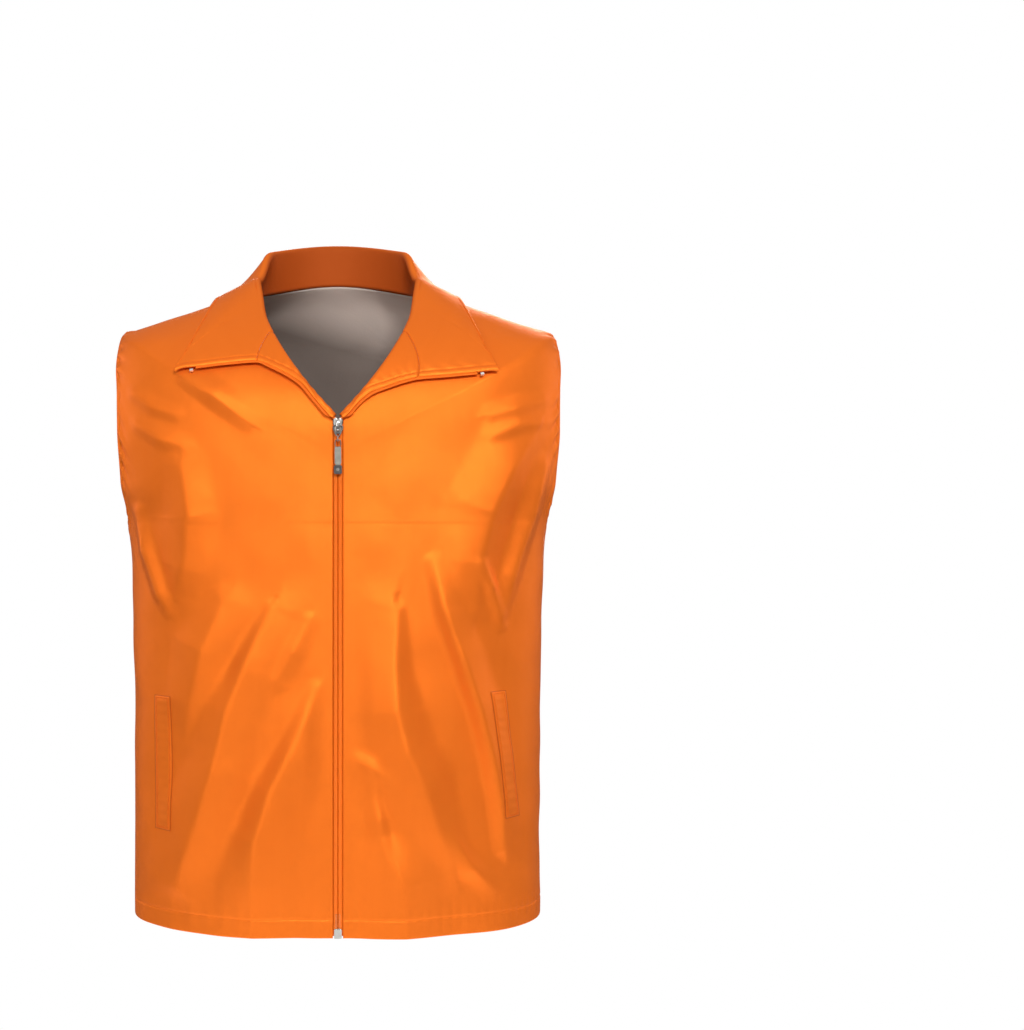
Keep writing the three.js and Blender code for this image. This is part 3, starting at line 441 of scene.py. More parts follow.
def polished(name, light, dark, rough, scratch):
    """A plated or brushed metal, duller where it has been handled."""
    nodes = Nodes(name)
    place = nodes.add("ShaderNodeTexCoord").outputs["Object"]
    cloud = nodes.noise(place, 220.0, 3.0)
    lines = nodes.noise(nodes.stretched(place, 6000.0, 6000.0, 300.0), 1.0, 1.0)
    colour = nodes.blend(cloud, dark, light)
    grain = nodes.maths("ADD", nodes.spread(cloud, rough, rough + 0.12), nodes.maths("MULTIPLY", lines, 0.08))
    nodes.shader.inputs["Metallic"].default_value = 1.0
    return nodes.drive(Base_Color=colour, Roughness=grain, Normal=nodes.bump(lines, scratch, 0.5))


def moulded(name, light, dark, rough):
    """Extruded plastic monofilament, slightly uneven in colour."""
    nodes = Nodes(name)
    place = nodes.add("ShaderNodeTexCoord").outputs["Object"]
    cloud = nodes.noise(place, 120.0, 3.0)
    fine = nodes.noise(place, 1800.0, 1.0)
    nodes.shader.inputs["Specular IOR Level"].default_value = 0.3
    grain = nodes.spread(cloud, rough, rough + 0.1)
    colour = nodes.blend(cloud, dark, light)
    return nodes.drive(Base_Color=colour, Roughness=grain, Normal=nodes.bump(fine, 0.00002))


ORANGE = rgb(0.89, 0.186, 0.019)
ORANGE_SHADE = rgb(0.82, 0.158, 0.014)
# Painted shade for the inside of the collar stand and the welt rims.
STAND_PAINTED_SHADE = rgb(0.37, 0.06, 0.008)
LINING = rgb(0.16, 0.128, 0.11)
LINING_SHADE = rgb(0.14, 0.111, 0.095)
# Painted light: the colour the lining brightens to towards its top.
LINING_PAINTED_LIGHT = rgb(0.6, 0.5, 0.44)
LOOKS = {
    "shell_cloth": woven("taffeta_orange", ORANGE, ORANGE_SHADE, 0.0005, 0.4, 0.44, 0.0004,
                         painted_shade=STAND_PAINTED_SHADE),
    "lining_cloth": woven("lining_grey", LINING, LINING_SHADE, 0.0004, 0.5, 0.1, 0.0006, painted_light=LINING_PAINTED_LIGHT),
    "collar_core": woven("core_white", rgb(0.8, 0.78, 0.72), rgb(0.7, 0.68, 0.62), 0.0006, 0.8, 0.0, 0.0002),
    "zip_tape": woven("tape_orange", rgb(0.8, 0.14, 0.006), rgb(0.7, 0.115, 0.005), 0.0009, 0.6, 0.1, 0.0001),
    "zip_coil": moulded("coil_orange", rgb(1.0, 0.215, 0.01), rgb(0.95, 0.19, 0.008), 0.5),
    "nickel": polished("nickel_plate", rgb(0.6, 0.58, 0.54), rgb(0.44, 0.425, 0.4), 0.14, 0.00002),
    "pale_nickel": polished("nickel_satin", rgb(0.86, 0.84, 0.8), rgb(0.7, 0.68, 0.64), 0.36, 0.00002),
    "grey_metal": polished("grey_metal_brushed", rgb(0.31, 0.29, 0.255), rgb(0.2, 0.19, 0.165), 0.3, 0.00006),
    "dark_nickel": polished("dark_nickel_plate", rgb(0.13, 0.125, 0.125), rgb(0.09, 0.087, 0.087), 0.22,
                            0.00002),
}
PLATES = polished("nickel_dull", rgb(0.34, 0.33, 0.31), rgb(0.2, 0.195, 0.185), 0.26, 0.00003)
THREAD = woven("thread_orange", rgb(0.74, 0.13, 0.012), rgb(0.64, 0.105, 0.009), 0.0003, 0.55, 0.2, 0.0001)


# ---- meshes -------------------------------------------------------------------------------------
def mesh_object(name, vertices, faces, uvs=None):
    """A smooth-shaded mesh from points in millimetres; uvs are one per vertex, in metres of cloth."""
    data = bpy.data.meshes.new(name)
    vertices = np.asarray(vertices, float).reshape(-1, 3) * MM
    faces = np.asarray(faces, np.int32)
    data.vertices.add(len(vertices))
    data.vertices.foreach_set("co", vertices.ravel())
    data.loops.add(faces.size)
    data.loops.foreach_set("vertex_index", faces.ravel())
    data.polygons.add(len(faces))
    data.polygons.foreach_set("loop_start", np.arange(len(faces), dtype=np.int32) * faces.shape[1])
    data.update(calc_edges=True)
    data.validate()
    data.polygons.foreach_set("use_smooth", np.ones(len(data.polygons), bool))
    if uvs is not None:
        layer = data.uv_layers.new(name="cloth")
        loops = np.empty(len(data.loops), np.int32)
        data.loops.foreach_get("vertex_index", loops)
        layer.data.foreach_set("uv", np.asarray(uvs, float).reshape(-1, 2)[loops].ravel())
    obj = bpy.data.objects.new(name, data)
    bpy.context.scene.collection.objects.link(obj)
    return obj


def grid_quads(rows, columns, offset=0, loop=False):
    i = np.arange(rows if loop else rows - 1)[:, None]
    j = np.arange(columns - 1)[None, :]
    a = (i % rows) * columns + j
    d = ((i + 1) % rows) * columns + j
    return np.stack([a, a + 1, d + 1, d], -1).reshape(-1, 4) + offset


def grid_uv(grid):
    """Cloth coordinates in metres: the way along each row and the mean way along the columns."""
    u = running_length(grid, 1)
    v = running_length(grid).mean(1)[:, None] + np.zeros(grid.shape[:2])
    return np.stack([u, v], -1) * MM


def slab(name, outer, inner, loop=False):
    """A closed sheet between two grids of points of one size."""
    rows, columns = outer.shape[:2]
    size = rows * columns
    top = grid_quads(rows, columns, 0, loop)
    bottom = grid_quads(rows, columns, size, loop)[:, ::-1]
    i = np.arange(rows if loop else rows - 1)
    j = np.arange(columns - 1)
    here, there = (i % rows) * columns, ((i + 1) % rows) * columns
    left = np.stack([here, there, there + size, here + size], -1)
    right = np.stack([here, here + size, there + size, there], -1) + columns - 1
    faces = [top, bottom, left, right]
    if not loop:
        last = (rows - 1) * columns
        faces.append(np.stack([j, j + size, j + 1 + size, j + 1], -1))
        faces.append(np.stack([last + j, last + j + 1, last + j + 1 + size, last + j + size], -1))
    faces = np.concatenate(faces)
    uv = grid_uv(outer)
    points = np.concatenate([outer.reshape(-1, 3), inner.reshape(-1, 3)])
    obj = mesh_object(name, points, faces, np.concatenate([uv.reshape(-1, 2)] * 2))
    turn_out(obj)
    return obj


def turn_out(obj):
    """Makes every face of one closed sheet look outwards."""
    data = obj.data
    points = np.empty(len(data.vertices) * 3)
    data.vertices.foreach_get("co", points)
    points = points.reshape(-1, 3)
    loops = np.empty(len(data.loops), np.int32)
    data.loops.foreach_get("vertex_index", loops)
    quads = points[loops.reshape(-1, 4)]
    volume = np.einsum("ij,ij->i", quads[:, 0], np.cross(quads[:, 1], quads[:, 2])).sum()
    volume += np.einsum("ij,ij->i", quads[:, 0], np.cross(quads[:, 2], quads[:, 3])).sum()
    if volume < 0:
        data.flip_normals()


LEAST_FLAT = 0.01


def shade_inside(obj, depth):
    """Paints shade on a slab: how dark each point of its grid is painted, from 0 to 1, on both faces."""
    painted_shade = obj.data.attributes.new("painted_shade", "FLOAT", "POINT")
    painted_shade.data.foreach_set("value", np.concatenate([depth.ravel()] * 2).astype(np.float32))


def declare_cloth(grid):
    """Works out the grid's longest row and column in metres, each at least LEAST_FLAT; nothing is kept."""
    width = np.linalg.norm(np.diff(grid, axis=1), axis=2).sum(1).max() * MM
    length = np.linalg.norm(np.diff(grid, axis=0), axis=2).sum(0).max() * MM
    width = max(math.ceil(width * 1000) / 1000, LEAST_FLAT)
    length = max(math.ceil(length * 1000) / 1000, LEAST_FLAT)


def finish_piece(obj, look, *nodes, body="vest"):
    """Gives a piece its finish and its body, and hides the CAD nodes it stands for."""
    obj.data.materials.clear()
    obj.data.materials.append(LOOKS[look])
    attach(obj, body)
    if nodes:
        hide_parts(*nodes)


def cloth_piece(node, outer, inner, look, flat, loop=False):
    """The sheet that stands for a CAD node. Its flat size is worked out from the grid flat and not kept."""
    obj = slab(f"{node}_cloth", outer, inner, loop)
    finish_piece(obj, look, node)
    declare_cloth(flat)
    return obj


def rounded(from_edge, thickness, radius):
    """Half thickness near an edge, given the distance from it: a turned edge is round, not cut."""
    t = np.clip(from_edge / radius, 0, 1)
    return thickness / 2 * np.sqrt(np.clip(1 - (1 - t) ** 2, 0, 1))


EDGE_STEPS = np.array([0, 0.25, 0.7, 1.4, 2.4, 3.6, 4.8, 6.0, 6.6, 7.0, 7.4, 8.0, 9.2, 10.6, 12.4, 14.4,
                       17, 20, 23.5])


def spaced(total, near, far, middle):
    """Distances from 0 to total with fine steps at the ends that ask for them."""
    head = EDGE_STEPS * near if near else np.array([0.0])
    tail = total - EDGE_STEPS[::-1] * far if far else np.array([total])
    inner = np.linspace(head[-1], tail[0], middle + 2)[1:-1]
    return np.concatenate([head, inner, tail])


def row_grid(ups, start_of, end_of, near, far, middle):
    """around values for each row of a patch, evenly spaced in millimetres except at fine edges."""
    rows = []
    for up in ups:
        dense = np.linspace(start_of(up), end_of(up), 400)
        run = running_length(torso_face(dense, up))
        rows.append(np.interp(spaced(run[-1], near, far, middle), run, dense))
    return np.array(rows)


UP_LENGTH = 745.0
SEAM_OVERLAP = 0.0015
TURNED_EDGE = 1.4
LEAST_HALF = 0.04
HEM_ROWS = np.array([0, 0.25, 0.7, 1.4, 2.4, 3.6, 5, 7, 9, 11, 13, 15, 16.4, 17.2, 18, 18.8, 19.6, 21, 23.5])
hem_rows = HEM_ROWS / UP_LENGTH
low_rows = np.linspace(26.5 / UP_LENGTH, UNDERARM - 0.024, 165)
under_rows = np.linspace(UNDERARM - 0.021, UNDERARM - 0.0015, 16)
arm_rows = ARMHOLE_MIDDLE - ARMHOLE_RISE * np.cos(np.linspace(0, math.pi, 84))
over_rows = np.linspace(TIP + 0.0015, TIP + 0.021, 16)
high_rows = np.linspace(TIP + 0.025, 1, 44)
BODY_ROWS = np.concatenate([hem_rows, low_rows, under_rows, arm_rows, over_rows, high_rows])


def armhole_sweep(up, set_back=0.0):
    height = (up - ARMHOLE_MIDDLE) / (ARMHOLE_RISE + set_back * BINDING_RISE)
    sweep = ARMHOLE_SWEEP + set_back * BINDING_SWEEP
    return sweep * math.sqrt(max(1 - height * height, 0))


def side_edge(up, set_back=0.0):
    return QUARTER + SEAM_OVERLAP - armhole_sweep(up, set_back)


# ---- body ---------------------------------------------------------------------------------------
SHELL_LIFT = -0.45
SHELL_THICK = 0.8
LINING_LIFT = -4.5
LINING_THICK = 0.5
LINING_SET_BACK = 1.3
BINDING_LIFT = -4.9
BINDING_WIDTH = 8.0
FACING_GAP = 0.6
INNER_ROWS = BODY_ROWS[::2]


def front_edge(up):
    return around_at_x(FRONT_EDGE_X, up)


def facing_edge(up, gap=0.0):
    """Where the front's facing ends; it narrows where it follows the neck seam."""
    return around_at_x(min(FACING_WIDTH, 0.86 * float(half_width(up))) + gap, up)


def back_grid(ups, set_back, fine, middle):
    return row_grid(ups, lambda up: math.pi - side_edge(up, set_back),
                    lambda up: math.pi + side_edge(up, set_back), fine, fine, middle)


def body_layer(node, arounds, ups, side, look, shell=False):
    """A sheet of body cloth. The shell is stitched, and its sides and hem are turned edges."""
    lift, thickness = (SHELL_LIFT, SHELL_THICK) if shell else (LINING_LIFT, LINING_THICK)
    up = ups[:, None] + 0 * arounds
    middle = cloth(arounds, up, lift, side, shell)
    half = np.full(arounds.shape, thickness / 2)
    if shell:
        run = running_length(middle, 1)
        for from_edge in (run, run[:, -1:] - run, up * UP_LENGTH):
            half = np.minimum(half, rounded(from_edge, thickness, TURNED_EDGE))
    half = np.maximum(half, LEAST_HALF)
    outer = cloth(arounds, up, lift + half, side, shell)
    inner = cloth(arounds, up, lift - half, side, shell)
    cloth_piece(node, outer, inner, look, middle)


def body_panels():
    for name, side in (("left", 1), ("right", -1)):
        panel = row_grid(BODY_ROWS, front_edge, side_edge, 1, 1, 78)
        body_layer(f"front_panel_{name}", panel, BODY_ROWS, side, "shell_cloth", shell=True)
        facing = row_grid(INNER_ROWS, front_edge, facing_edge, 0, 0, 22)
        body_layer(f"front_facing_{name}", facing, INNER_ROWS, side, "shell_cloth")
        lining = row_grid(INNER_ROWS, lambda up: facing_edge(up, FACING_GAP),
                          lambda up: side_edge(up, LINING_SET_BACK), 0, 0, 60)
        body_layer(f"front_lining_{name}", lining, INNER_ROWS, side, "lining_cloth")
        binding(name, side)
    body_layer("back_panel", back_grid(BODY_ROWS, 0, 1, 160), BODY_ROWS, 1, "shell_cloth", shell=True)
    lining = back_grid(INNER_ROWS, LINING_SET_BACK, 0, 130)
    body_layer("back_lining", lining, INNER_ROWS, 1, "lining_cloth")


def binding(name, side):
    """The bias strip round the inner side of an armhole, its inner edge rolled."""
    turns = np.linspace(0, 2 * math.pi, 220, endpoint=False)[:, None]
    widths = np.linspace(0, 1, 12)[None, :]
    arounds = QUARTER + (ARMHOLE_SWEEP + BINDING_SWEEP * widths) * np.cos(turns)
    ups = ARMHOLE_MIDDLE + (ARMHOLE_RISE + BINDING_RISE * widths) * np.sin(turns)
    half = np.minimum(0.25, rounded(widths * BINDING_WIDTH + 0 * turns, 0.5, 1.0) + 0.05)
    outer = cloth(arounds, ups, BINDING_LIFT + half, side)
    inner = cloth(arounds, ups, BINDING_LIFT - half, side)
    cloth_piece(f"armhole_binding_{name}", outer, inner, "shell_cloth", outer, loop=True)


# ---- pockets ------------------------------------------------------------------------------------
POCKETS = {
    "left": {"side": 1, "top_x": 157, "bottom_x": 171, "top_z": -413, "bottom_z": -539},
    "right": {"side": -1, "top_x": 174, "bottom_x": 172.5, "top_z": -419, "bottom_z": -552},
}
WELT_WIDTH = 19.0
BAG_WIDTH = 120.0
BAG_DROP = 34.0


def up_at_z(z):
    table = np.linspace(0, UNDERARM, 2000)
    return np.interp(z, side_z(table), table)


def pocket_grid(pocket, near_x, far_x, extra_drop, rises, shares):
    z = pocket["bottom_z"] - extra_drop + (pocket["top_z"] - pocket["bottom_z"] + extra_drop) * rises[:, None]
    up = up_at_z(z) + 0 * shares[None, :]
    x = pocket["bottom_x"] + (pocket["top_x"] - pocket["bottom_x"]) * rises[:, None]
    x = x + near_x + (far_x - near_x) * shares[None, :]
    return around_at_x(x, up), up


def welt(name, pocket):
    """The folded strip of the pocket's mouth: puffed, stitched all round, with painted shade at its rim."""
    tall = pocket["top_z"] - pocket["bottom_z"]
    rises = spaced(tall, 0.4, 0.4, 60) / tall
    shares = spaced(WELT_WIDTH, 0.28, 0.28, 12) / WELT_WIDTH
    arounds, ups = pocket_grid(pocket, -WELT_WIDTH / 2, WELT_WIDTH / 2, 0, rises, shares)
    from_side = np.minimum(shares, 1 - shares)[None, :] * WELT_WIDTH
    from_end = np.minimum(rises, 1 - rises)[:, None] * tall
    from_edge = np.minimum(from_side, from_end)
    puff = 0.95 * smoothstep(from_edge, 0, WELT_STITCH)
    stitch = -0.35 * bell(from_edge, WELT_STITCH, 0.7)
    give = 0.12 * np.sin(rises[:, None] * tall * 2 * math.pi / 9 + 0.8) * smoothstep(from_edge, 1.5, 5)
    outer = cloth(arounds, ups, 0.35 + puff + stitch + give, pocket["side"])
    inner = cloth(arounds, ups, 0.15, pocket["side"])
    obj = cloth_piece(f"pocket_welt_{name}", outer, inner, "shell_cloth", inner)
    # Painted shade: a thin dark line coloured along the welt's rim.
    shade_inside(obj, 0.75 * (1 - smoothstep(from_edge, 0.25, 1.2)))


def pocket_bag(name, pocket):
    rises, shares = np.linspace(0, 1, 48), np.linspace(0, 1, 40)
    arounds, ups = pocket_grid(pocket, -BAG_WIDTH, WELT_WIDTH / 2, BAG_DROP, rises, shares)
    outer = cloth(arounds, ups, -2.45, pocket["side"])
    inner = cloth(arounds, ups, -2.95, pocket["side"])
    cloth_piece(f"pocket_bag_{name}", outer, inner, "lining_cloth", inner)


def pockets():
    for name, pocket in POCKETS.items():
        welt(name, pocket)
        pocket_bag(name, pocket)


# ---- collar -------------------------------------------------------------------------------------
# Each section rises from the neck seam as the stand, rolls over and falls as the leaf. At the front the
# roll crosses the seam and the top of the front turns back with the collar, as a lapel does.
LEAF_TIP = math.radians(72)
LEAF_EDGES = {
    "right": [(3, 6.6, -145.5), (9, 15.5, -133), (20, 31, -117), (30, 47, -105.5), (40, 61.5, -98),
              (53, 80, -90.6), (60, 105, -92.5), (66, 135, -96.3), (72, 158.5, -100)],
    "left": [(3, 6.6, -146), (9, 15.5, -134), (20, 31, -123), (30, 46, -117), (40, 60, -112),
             (53, 78, -107.5), (60, 104, -105), (66, 132, -102), (72, 156.5, -99.5)],
}


def locate_on_front(x, z):
    """Where on the torso the front shows x and z."""
    best = np.array([QUARTER / 2, 0.8])
    reach = np.array([QUARTER / 2, 0.2])
    steps = np.linspace(-1, 1, 21)
    for _ in range(16):
        arounds = np.clip(best[0] + steps * reach[0], 0, QUARTER)[:, None] + 0 * steps[None, :]
        ups = np.minimum(best[1] + steps * reach[1], 1)[None, :] + 0 * steps[:, None]
        face = torso_face(arounds, ups)
        miss = np.hypot(face[..., 0] - x, face[..., 2] - z)
        i, j = np.unravel_index(miss.argmin(), miss.shape)
        best = np.array([arounds[i, j], ups[i, j]])
        reach = reach / 2
    return best


def leaf_edge(name):
    """The around and up of the leaf's edge for an angle round the neck."""
    keys = [math.radians(row[0]) for row in LEAF_EDGES[name]]
    places = np.array([locate_on_front(x, z) for _, x, z in LEAF_EDGES[name]])
    around = smooth_through(keys, places[:, 0])
    up = smooth_through(keys, places[:, 1])

    ridge = torso_face(QUARTER, COLLAR_RING)
    _, tip_x, tip_z = LEAF_EDGES[name][-1]
    shares = np.linspace(0, 1, 41)
    xs = tip_x + (ridge[0] - tip_x) * shares
    zs = tip_z + (ridge[2] - tip_z) * shares
    side = np.array([locate_on_front(x, z) for x, z in zip(xs, zs)])

    def edge(angle):
        """By angle: along the lapel, straight from the tip to the shoulder, then level to the back."""
        share = np.clip((angle - LEAF_TIP) / (QUARTER - LEAF_TIP), 0, 1)
        over = np.where(angle >= QUARTER, angle, np.interp(share, shares, side[:, 0]))
        ring = np.where(angle >= QUARTER, COLLAR_RING, np.interp(share, shares, side[:, 1]))
        return np.where(angle <= LEAF_TIP, around(angle), over), np.where(angle <= LEAF_TIP, up(angle), ring)

    return edge


LEAF_EDGE_OF = {"left": leaf_edge("left"), "right": leaf_edge("right")}


def stand_height(angle):
    over_shoulder = smoothstep(angle, math.radians(60), QUARTER)
    round_back = smoothstep(angle, QUARTER, math.radians(128))
    return ROLL_HEIGHT + 7 * over_shoulder + (COLLAR_STAND - ROLL_HEIGHT - 7) * round_back


def stand_direction(angle):
    rising = unit(torso_face(angle, 1.0) - torso_face(angle, 0.99))
    upright = 0.6 * smoothstep(angle, math.radians(60), QUARTER)
    upright = (upright + 0.4 * smoothstep(angle, QUARTER, math.radians(130)))[..., None]
    return unit(rising + (np.array([0.0, 0.0, 1.0]) - rising) * upright)


STAND_FOOT = -3.5
STAND_STEPS = 14
ROLL_STEPS = 12


def leaf_shares(steps):
    """Shares of the way down the leaf, finer towards its edge."""
    t = np.linspace(0, 1, steps + 1)[1:]
    return 1 - (1 - t) ** 1.5


LEAF_SHARES = leaf_shares(46)


def collar_grid(angles, name):
    """The middle of the collar's thickness: a row for each angle, from the neck seam to the leaf's edge."""
    angle = np.asarray(angles, float)[:, None]
    seam = torso_face(angle, 1.0)
    climb = stand_direction(angle)
    outward = torso_normal(angle, np.ones_like(angle))
    outward = unit(outward - climb * (outward * climb).sum(-1, keepdims=True))
    straight = np.maximum(stand_height(angle) - ROLL_RADIUS, 1.6)
    rise = STAND_FOOT + (straight - STAND_FOOT) * np.linspace(0, 1, STAND_STEPS, endpoint=False)[None, :]
    turn = np.pi * np.linspace(0, 1, ROLL_STEPS + 1)[None, :]
    rolled = ROLL_RADIUS * (1 - np.cos(turn)) + 0 * angle
    out = np.concatenate([0 * rise, rolled], 1) - STAND_SET_BACK
    rise = np.concatenate([rise, straight + ROLL_RADIUS * np.sin(turn)], 1)
    stand = seam + outward * out[..., None] + climb * rise[..., None]
    share = LEAF_SHARES[None, :]
    edge_around, edge_up = LEAF_EDGE_OF[name](angle)
    around = angle + (edge_around - angle) * share
    up = 1 + (edge_up - 1) * share
    face = torso_face(around, up)
    signed = around if name == "left" else -around
    follow = relief(signed, up, torso_face(signed, up)) * smoothstep(share, 0.1, 0.6)
    leaf = face + torso_normal(around, up) * (LEAF_LIFT + follow)[..., None]
    leaf = leaf + climb * (straight * (1 - share))[..., None]
    grid = np.concatenate([stand, leaf], 1)
    return grid if name == "left" else grid * MIRROR


def grid_normals(grid):
    along = np.gradient(grid, axis=0)
    down = np.gradient(grid, axis=1)
    return unit(np.cross(down, along))


def ply(node, grid, heights, look, edge_roll=True, seam_ends=(), puff=0.0):
    """One layer of the collar between two heights over the middle, closed round at the leaf's edge."""
    normals = grid_normals(grid)
    down = running_length(grid, 1)
    from_edge = down[:, -1:] - down
    taper = np.ones(grid.shape[:2])
    if edge_roll:
        taper = np.sqrt(np.clip(1 - (1 - np.clip(from_edge / 2.6, 0, 1)) ** 2, 0, 1)) * 0.93 + 0.07
    along = running_length(grid[:, grid.shape[1] // 2])[:, None]
    lift = np.zeros(grid.shape[:2])
    if puff:
        lift = lift + puff * bell(from_edge, 3.4, 1.8)
        lift = lift - 0.5 * bell(from_edge, COLLAR_STITCH, 0.8)
        lift = lift + 0.25 * np.sin(along * 2 * math.pi / 13 + from_edge * 0.2) * bell(from_edge, 9, 5)
    for end in seam_ends:
        gap = along if end == "first" else along[-1] - along
        lift = lift - 0.75 * bell(gap, 0, 1.3)
    tops = grid + normals * (heights[0] * taper + lift)[..., None]
    bottoms = grid + normals * (heights[1] * taper)[..., None]
    return cloth_piece(node, tops, bottoms, look, grid), tops


TOP_PLY = (1.45, 0.5)
CORE_PLY = (0.3, -0.3)
UNDER_PLY = (-0.5, -1.3)
TOP_PUFF = 0.3
LAPEL_ANGLES = np.radians(np.concatenate([np.linspace(3.5, 52, 80), [52.4, 52.7, 52.95]]))
AT_LAPEL = [53.05, 53.3, 53.6]
AT_TIP = [71.6, 71.9, 72, 72.1, 72.4]
HALF_ANGLES = np.radians(np.concatenate([
    AT_LAPEL, np.linspace(54.2, 71, 34), AT_TIP, np.linspace(73, 90, 34), np.linspace(91, 180, 80)]))


def whole_collar():
    left = collar_grid(HALF_ANGLES, "left")
    right = collar_grid(HALF_ANGLES, "right")[:-1][::-1]
    return np.concatenate([left, right])


def collar():
    """All layers of the collar and lapels; gives back the upper faces, where the stitching goes."""
    grid = whole_collar()
    upper, top = ply("upper_collar", grid, TOP_PLY, "shell_cloth", True, ("first", "last"), TOP_PUFF)
    # Painted shade: the stand and the first half of the roll are coloured darker round the back, fading out
    # over the shoulders to none at the lapels.
    angles = np.concatenate([HALF_ANGLES, HALF_ANGLES[:-1][::-1]])[:, None]
    column = np.arange(grid.shape[1])[None, :]
    depth = 1 - smoothstep(column, STAND_STEPS + 1, STAND_STEPS + ROLL_STEPS // 2 + 1)
    shade_inside(upper, depth * smoothstep(angles, math.radians(62), math.radians(96)))
    ply("collar_interlining", grid[:, :-8], CORE_PLY, "collar_core", False)
    ply("under_collar", grid, UNDER_PLY, "shell_cloth")
    tops = [top]
    for name in ("left", "right"):
        grid = collar_grid(LAPEL_ANGLES, name)
        seam = "last"
        if name == "right":
            grid = grid[::-1]
            seam = "first"
        _, top = ply(f"lapel_facing_{name}", grid, TOP_PLY, "shell_cloth", True, (seam,), TOP_PUFF)
        ply(f"lapel_outer_{name}", grid, UNDER_PLY, "shell_cloth")
        tops.append(top)
    return tops


# ---- zip ----------------------------------------------------------------------------------------
COIL_PITCH = 1.05
COIL_WIRE = 0.42
COIL_HALF_WIDTH = 1.82
COIL_HALF_DEPTH = 0.45
COIL_MIDDLE_X = 2.3
COIL_MIDDLE_Y = -FRONT_DEPTH - 0.15
COIL_BOTTOM_Z = -640.2
LAPEL_PATH_ANGLES = np.radians([5.5, 8, 11, 16, 23, 32, 42, 53, 60, 67])
LAPEL_COIL_OFFSET = 0.9
SLIDER_TOP_Z = -145.0
TURNING_POINT = (2.9, -131.6, -146.2)
TAPE_TOP_Z = -150


def lapel_edge_path(name, offset, angles):
    """Points just beyond the lapel's edge, with the way out of the cloth and the way off its face."""
    here = collar_grid(angles, name)[:, -1]
    ahead = collar_grid(angles + 0.01, name)[:, -1]
    along = unit(ahead - here)
    around, up = LEAF_EDGE_OF[name](angles)
    face = torso_normal(around, up) * (1 if name == "left" else MIRROR)
    out = unit(np.cross(along, face))
    out = np.where(out[:, 2:3] > 0, -out, out)
    return here + out * offset, out, face


def resample(points, step, *fields):
    """Points evenly spaced along a path, with anything else given along it."""
    run = running_length(points)
    at = np.linspace(0, run[-1], max(int(run[-1] / step), 2) + 1)
    return [np.stack([smooth_through(run, field[:, k])(at) for k in range(3)], -1)
            for field in (points, *fields)]


def tube(path, radius, sides):
    """The rings of a round wire along a path of points."""
    along = unit(np.gradient(path, axis=0))
    frame_a = np.empty_like(path)
    previous = unit(np.cross(along[0], np.array([0.3, 0.2, 1.1])))
    for i, way in enumerate(along):
        previous = unit(previous - way * (previous @ way))
        frame_a[i] = previous
    frame_b = np.cross(along, frame_a)
    return path[:, None] + circle(frame_a[:, None], frame_b[:, None], sides) * radius


def join_meshes(name, parts):
    """One object from stacks of rings, each stack closed at both ends to the middle of its ring."""
    vertices, faces, offset = [], [], 0
    for rings in parts:
        count, sides = rings.shape[:2]
        i = np.arange(count - 1)[:, None] * sides
        j = np.arange(sides)[None, :]
        k = (j + 1) % sides
        quads = np.stack([i + j, i + k, i + sides + k, i + sides + j], -1).reshape(-1, 4)
        faces.extend((quads + offset).tolist())
        tail = offset + (count - 1) * sides
        tips = offset + count * sides
        for a in range(sides):
            b = (a + 1) % sides
            faces.append([offset + b, offset + a, tips])
            faces.append([tail + a, tail + b, tips + 1])
        vertices.append(np.concatenate([rings.reshape(-1, 3), [rings[0].mean(0), rings[-1].mean(0)]]))
        offset = tips + 2
    data = bpy.data.meshes.new(name)
    data.from_pydata((np.concatenate(vertices) * MM).tolist(), [], faces)
    data.polygons.foreach_set("use_smooth", np.ones(len(data.polygons), bool))
    data.update()
    data.uv_layers.new(name="cloth")
    obj = bpy.data.objects.new(name, data)
    bpy.context.scene.collection.objects.link(obj)
    return obj


def coil_wire(points, across, through):
    """A continuous spiral of monofilament, wider than deep, round a path."""
    path, wide, deep = resample(points, COIL_PITCH / 8, across, through)
    turn = np.arange(len(path)) * 2 * math.pi / 8
    wide, deep = unit(wide), unit(deep)
    width = COIL_HALF_WIDTH * (1 - 0.4 * smoothstep(path[:, 2], SLIDER_TOP_Z - 3, SLIDER_TOP_Z + 6))
    ring = wide * (width * np.cos(turn))[:, None] + deep * (COIL_HALF_DEPTH * np.sin(turn))[:, None]
    return path + ring


def zip_coil(name, side):
    """One half of the coil: straight up to the slider, then along the edge of the lapel."""
    heights = np.linspace(COIL_BOTTOM_Z, SLIDER_TOP_Z - 4, 30)
    straight = np.array([(COIL_MIDDLE_X, COIL_MIDDLE_Y, z) for z in heights] + [TURNING_POINT])
    lapel, out, off = lapel_edge_path(name, LAPEL_COIL_OFFSET, LAPEL_PATH_ANGLES)
    points = np.concatenate([straight * [side, 1, 1], lapel])
    across = np.concatenate([[[side, 0, 0]] * len(straight), out])
    through = np.concatenate([[[0, -1, 0]] * len(straight), off])
    wire = coil_wire(points, across, through)
    obj = join_meshes(f"zip_coil_{name}_spiral", [tube(wire, COIL_WIRE, 5)])
    finish_piece(obj, "zip_coil", f"zip_coil_{name}")


def zip_tape(name, side):
    """The woven strip that carries the coil. It narrows just below the slider."""
    z = np.linspace(HEM_Z + 2, TAPE_TOP_Z, 200)
    x = side * np.linspace(0.0, np.interp(z, [-172, TAPE_TOP_Z], [16, 4.2]), 14, axis=-1)
    grid = np.stack([x, np.full_like(x, -FRONT_DEPTH + 2.05), z[:, None] + 0 * x], -1)
    offset = np.array([0, -0.25, 0])
    cloth_piece(f"zip_tape_{name}", grid + offset, grid - offset, "zip_tape", grid)


def zip_parts():
    for name, side in (("left", 1), ("right", -1)):
        zip_coil(name, side)
        zip_tape(name, side)


# ---- stitching ----------------------------------------------------------------------------------
STITCH_LENGTH = 2.5
STITCH_PITCH = 3.1
STITCH_RADIUS = 0.26
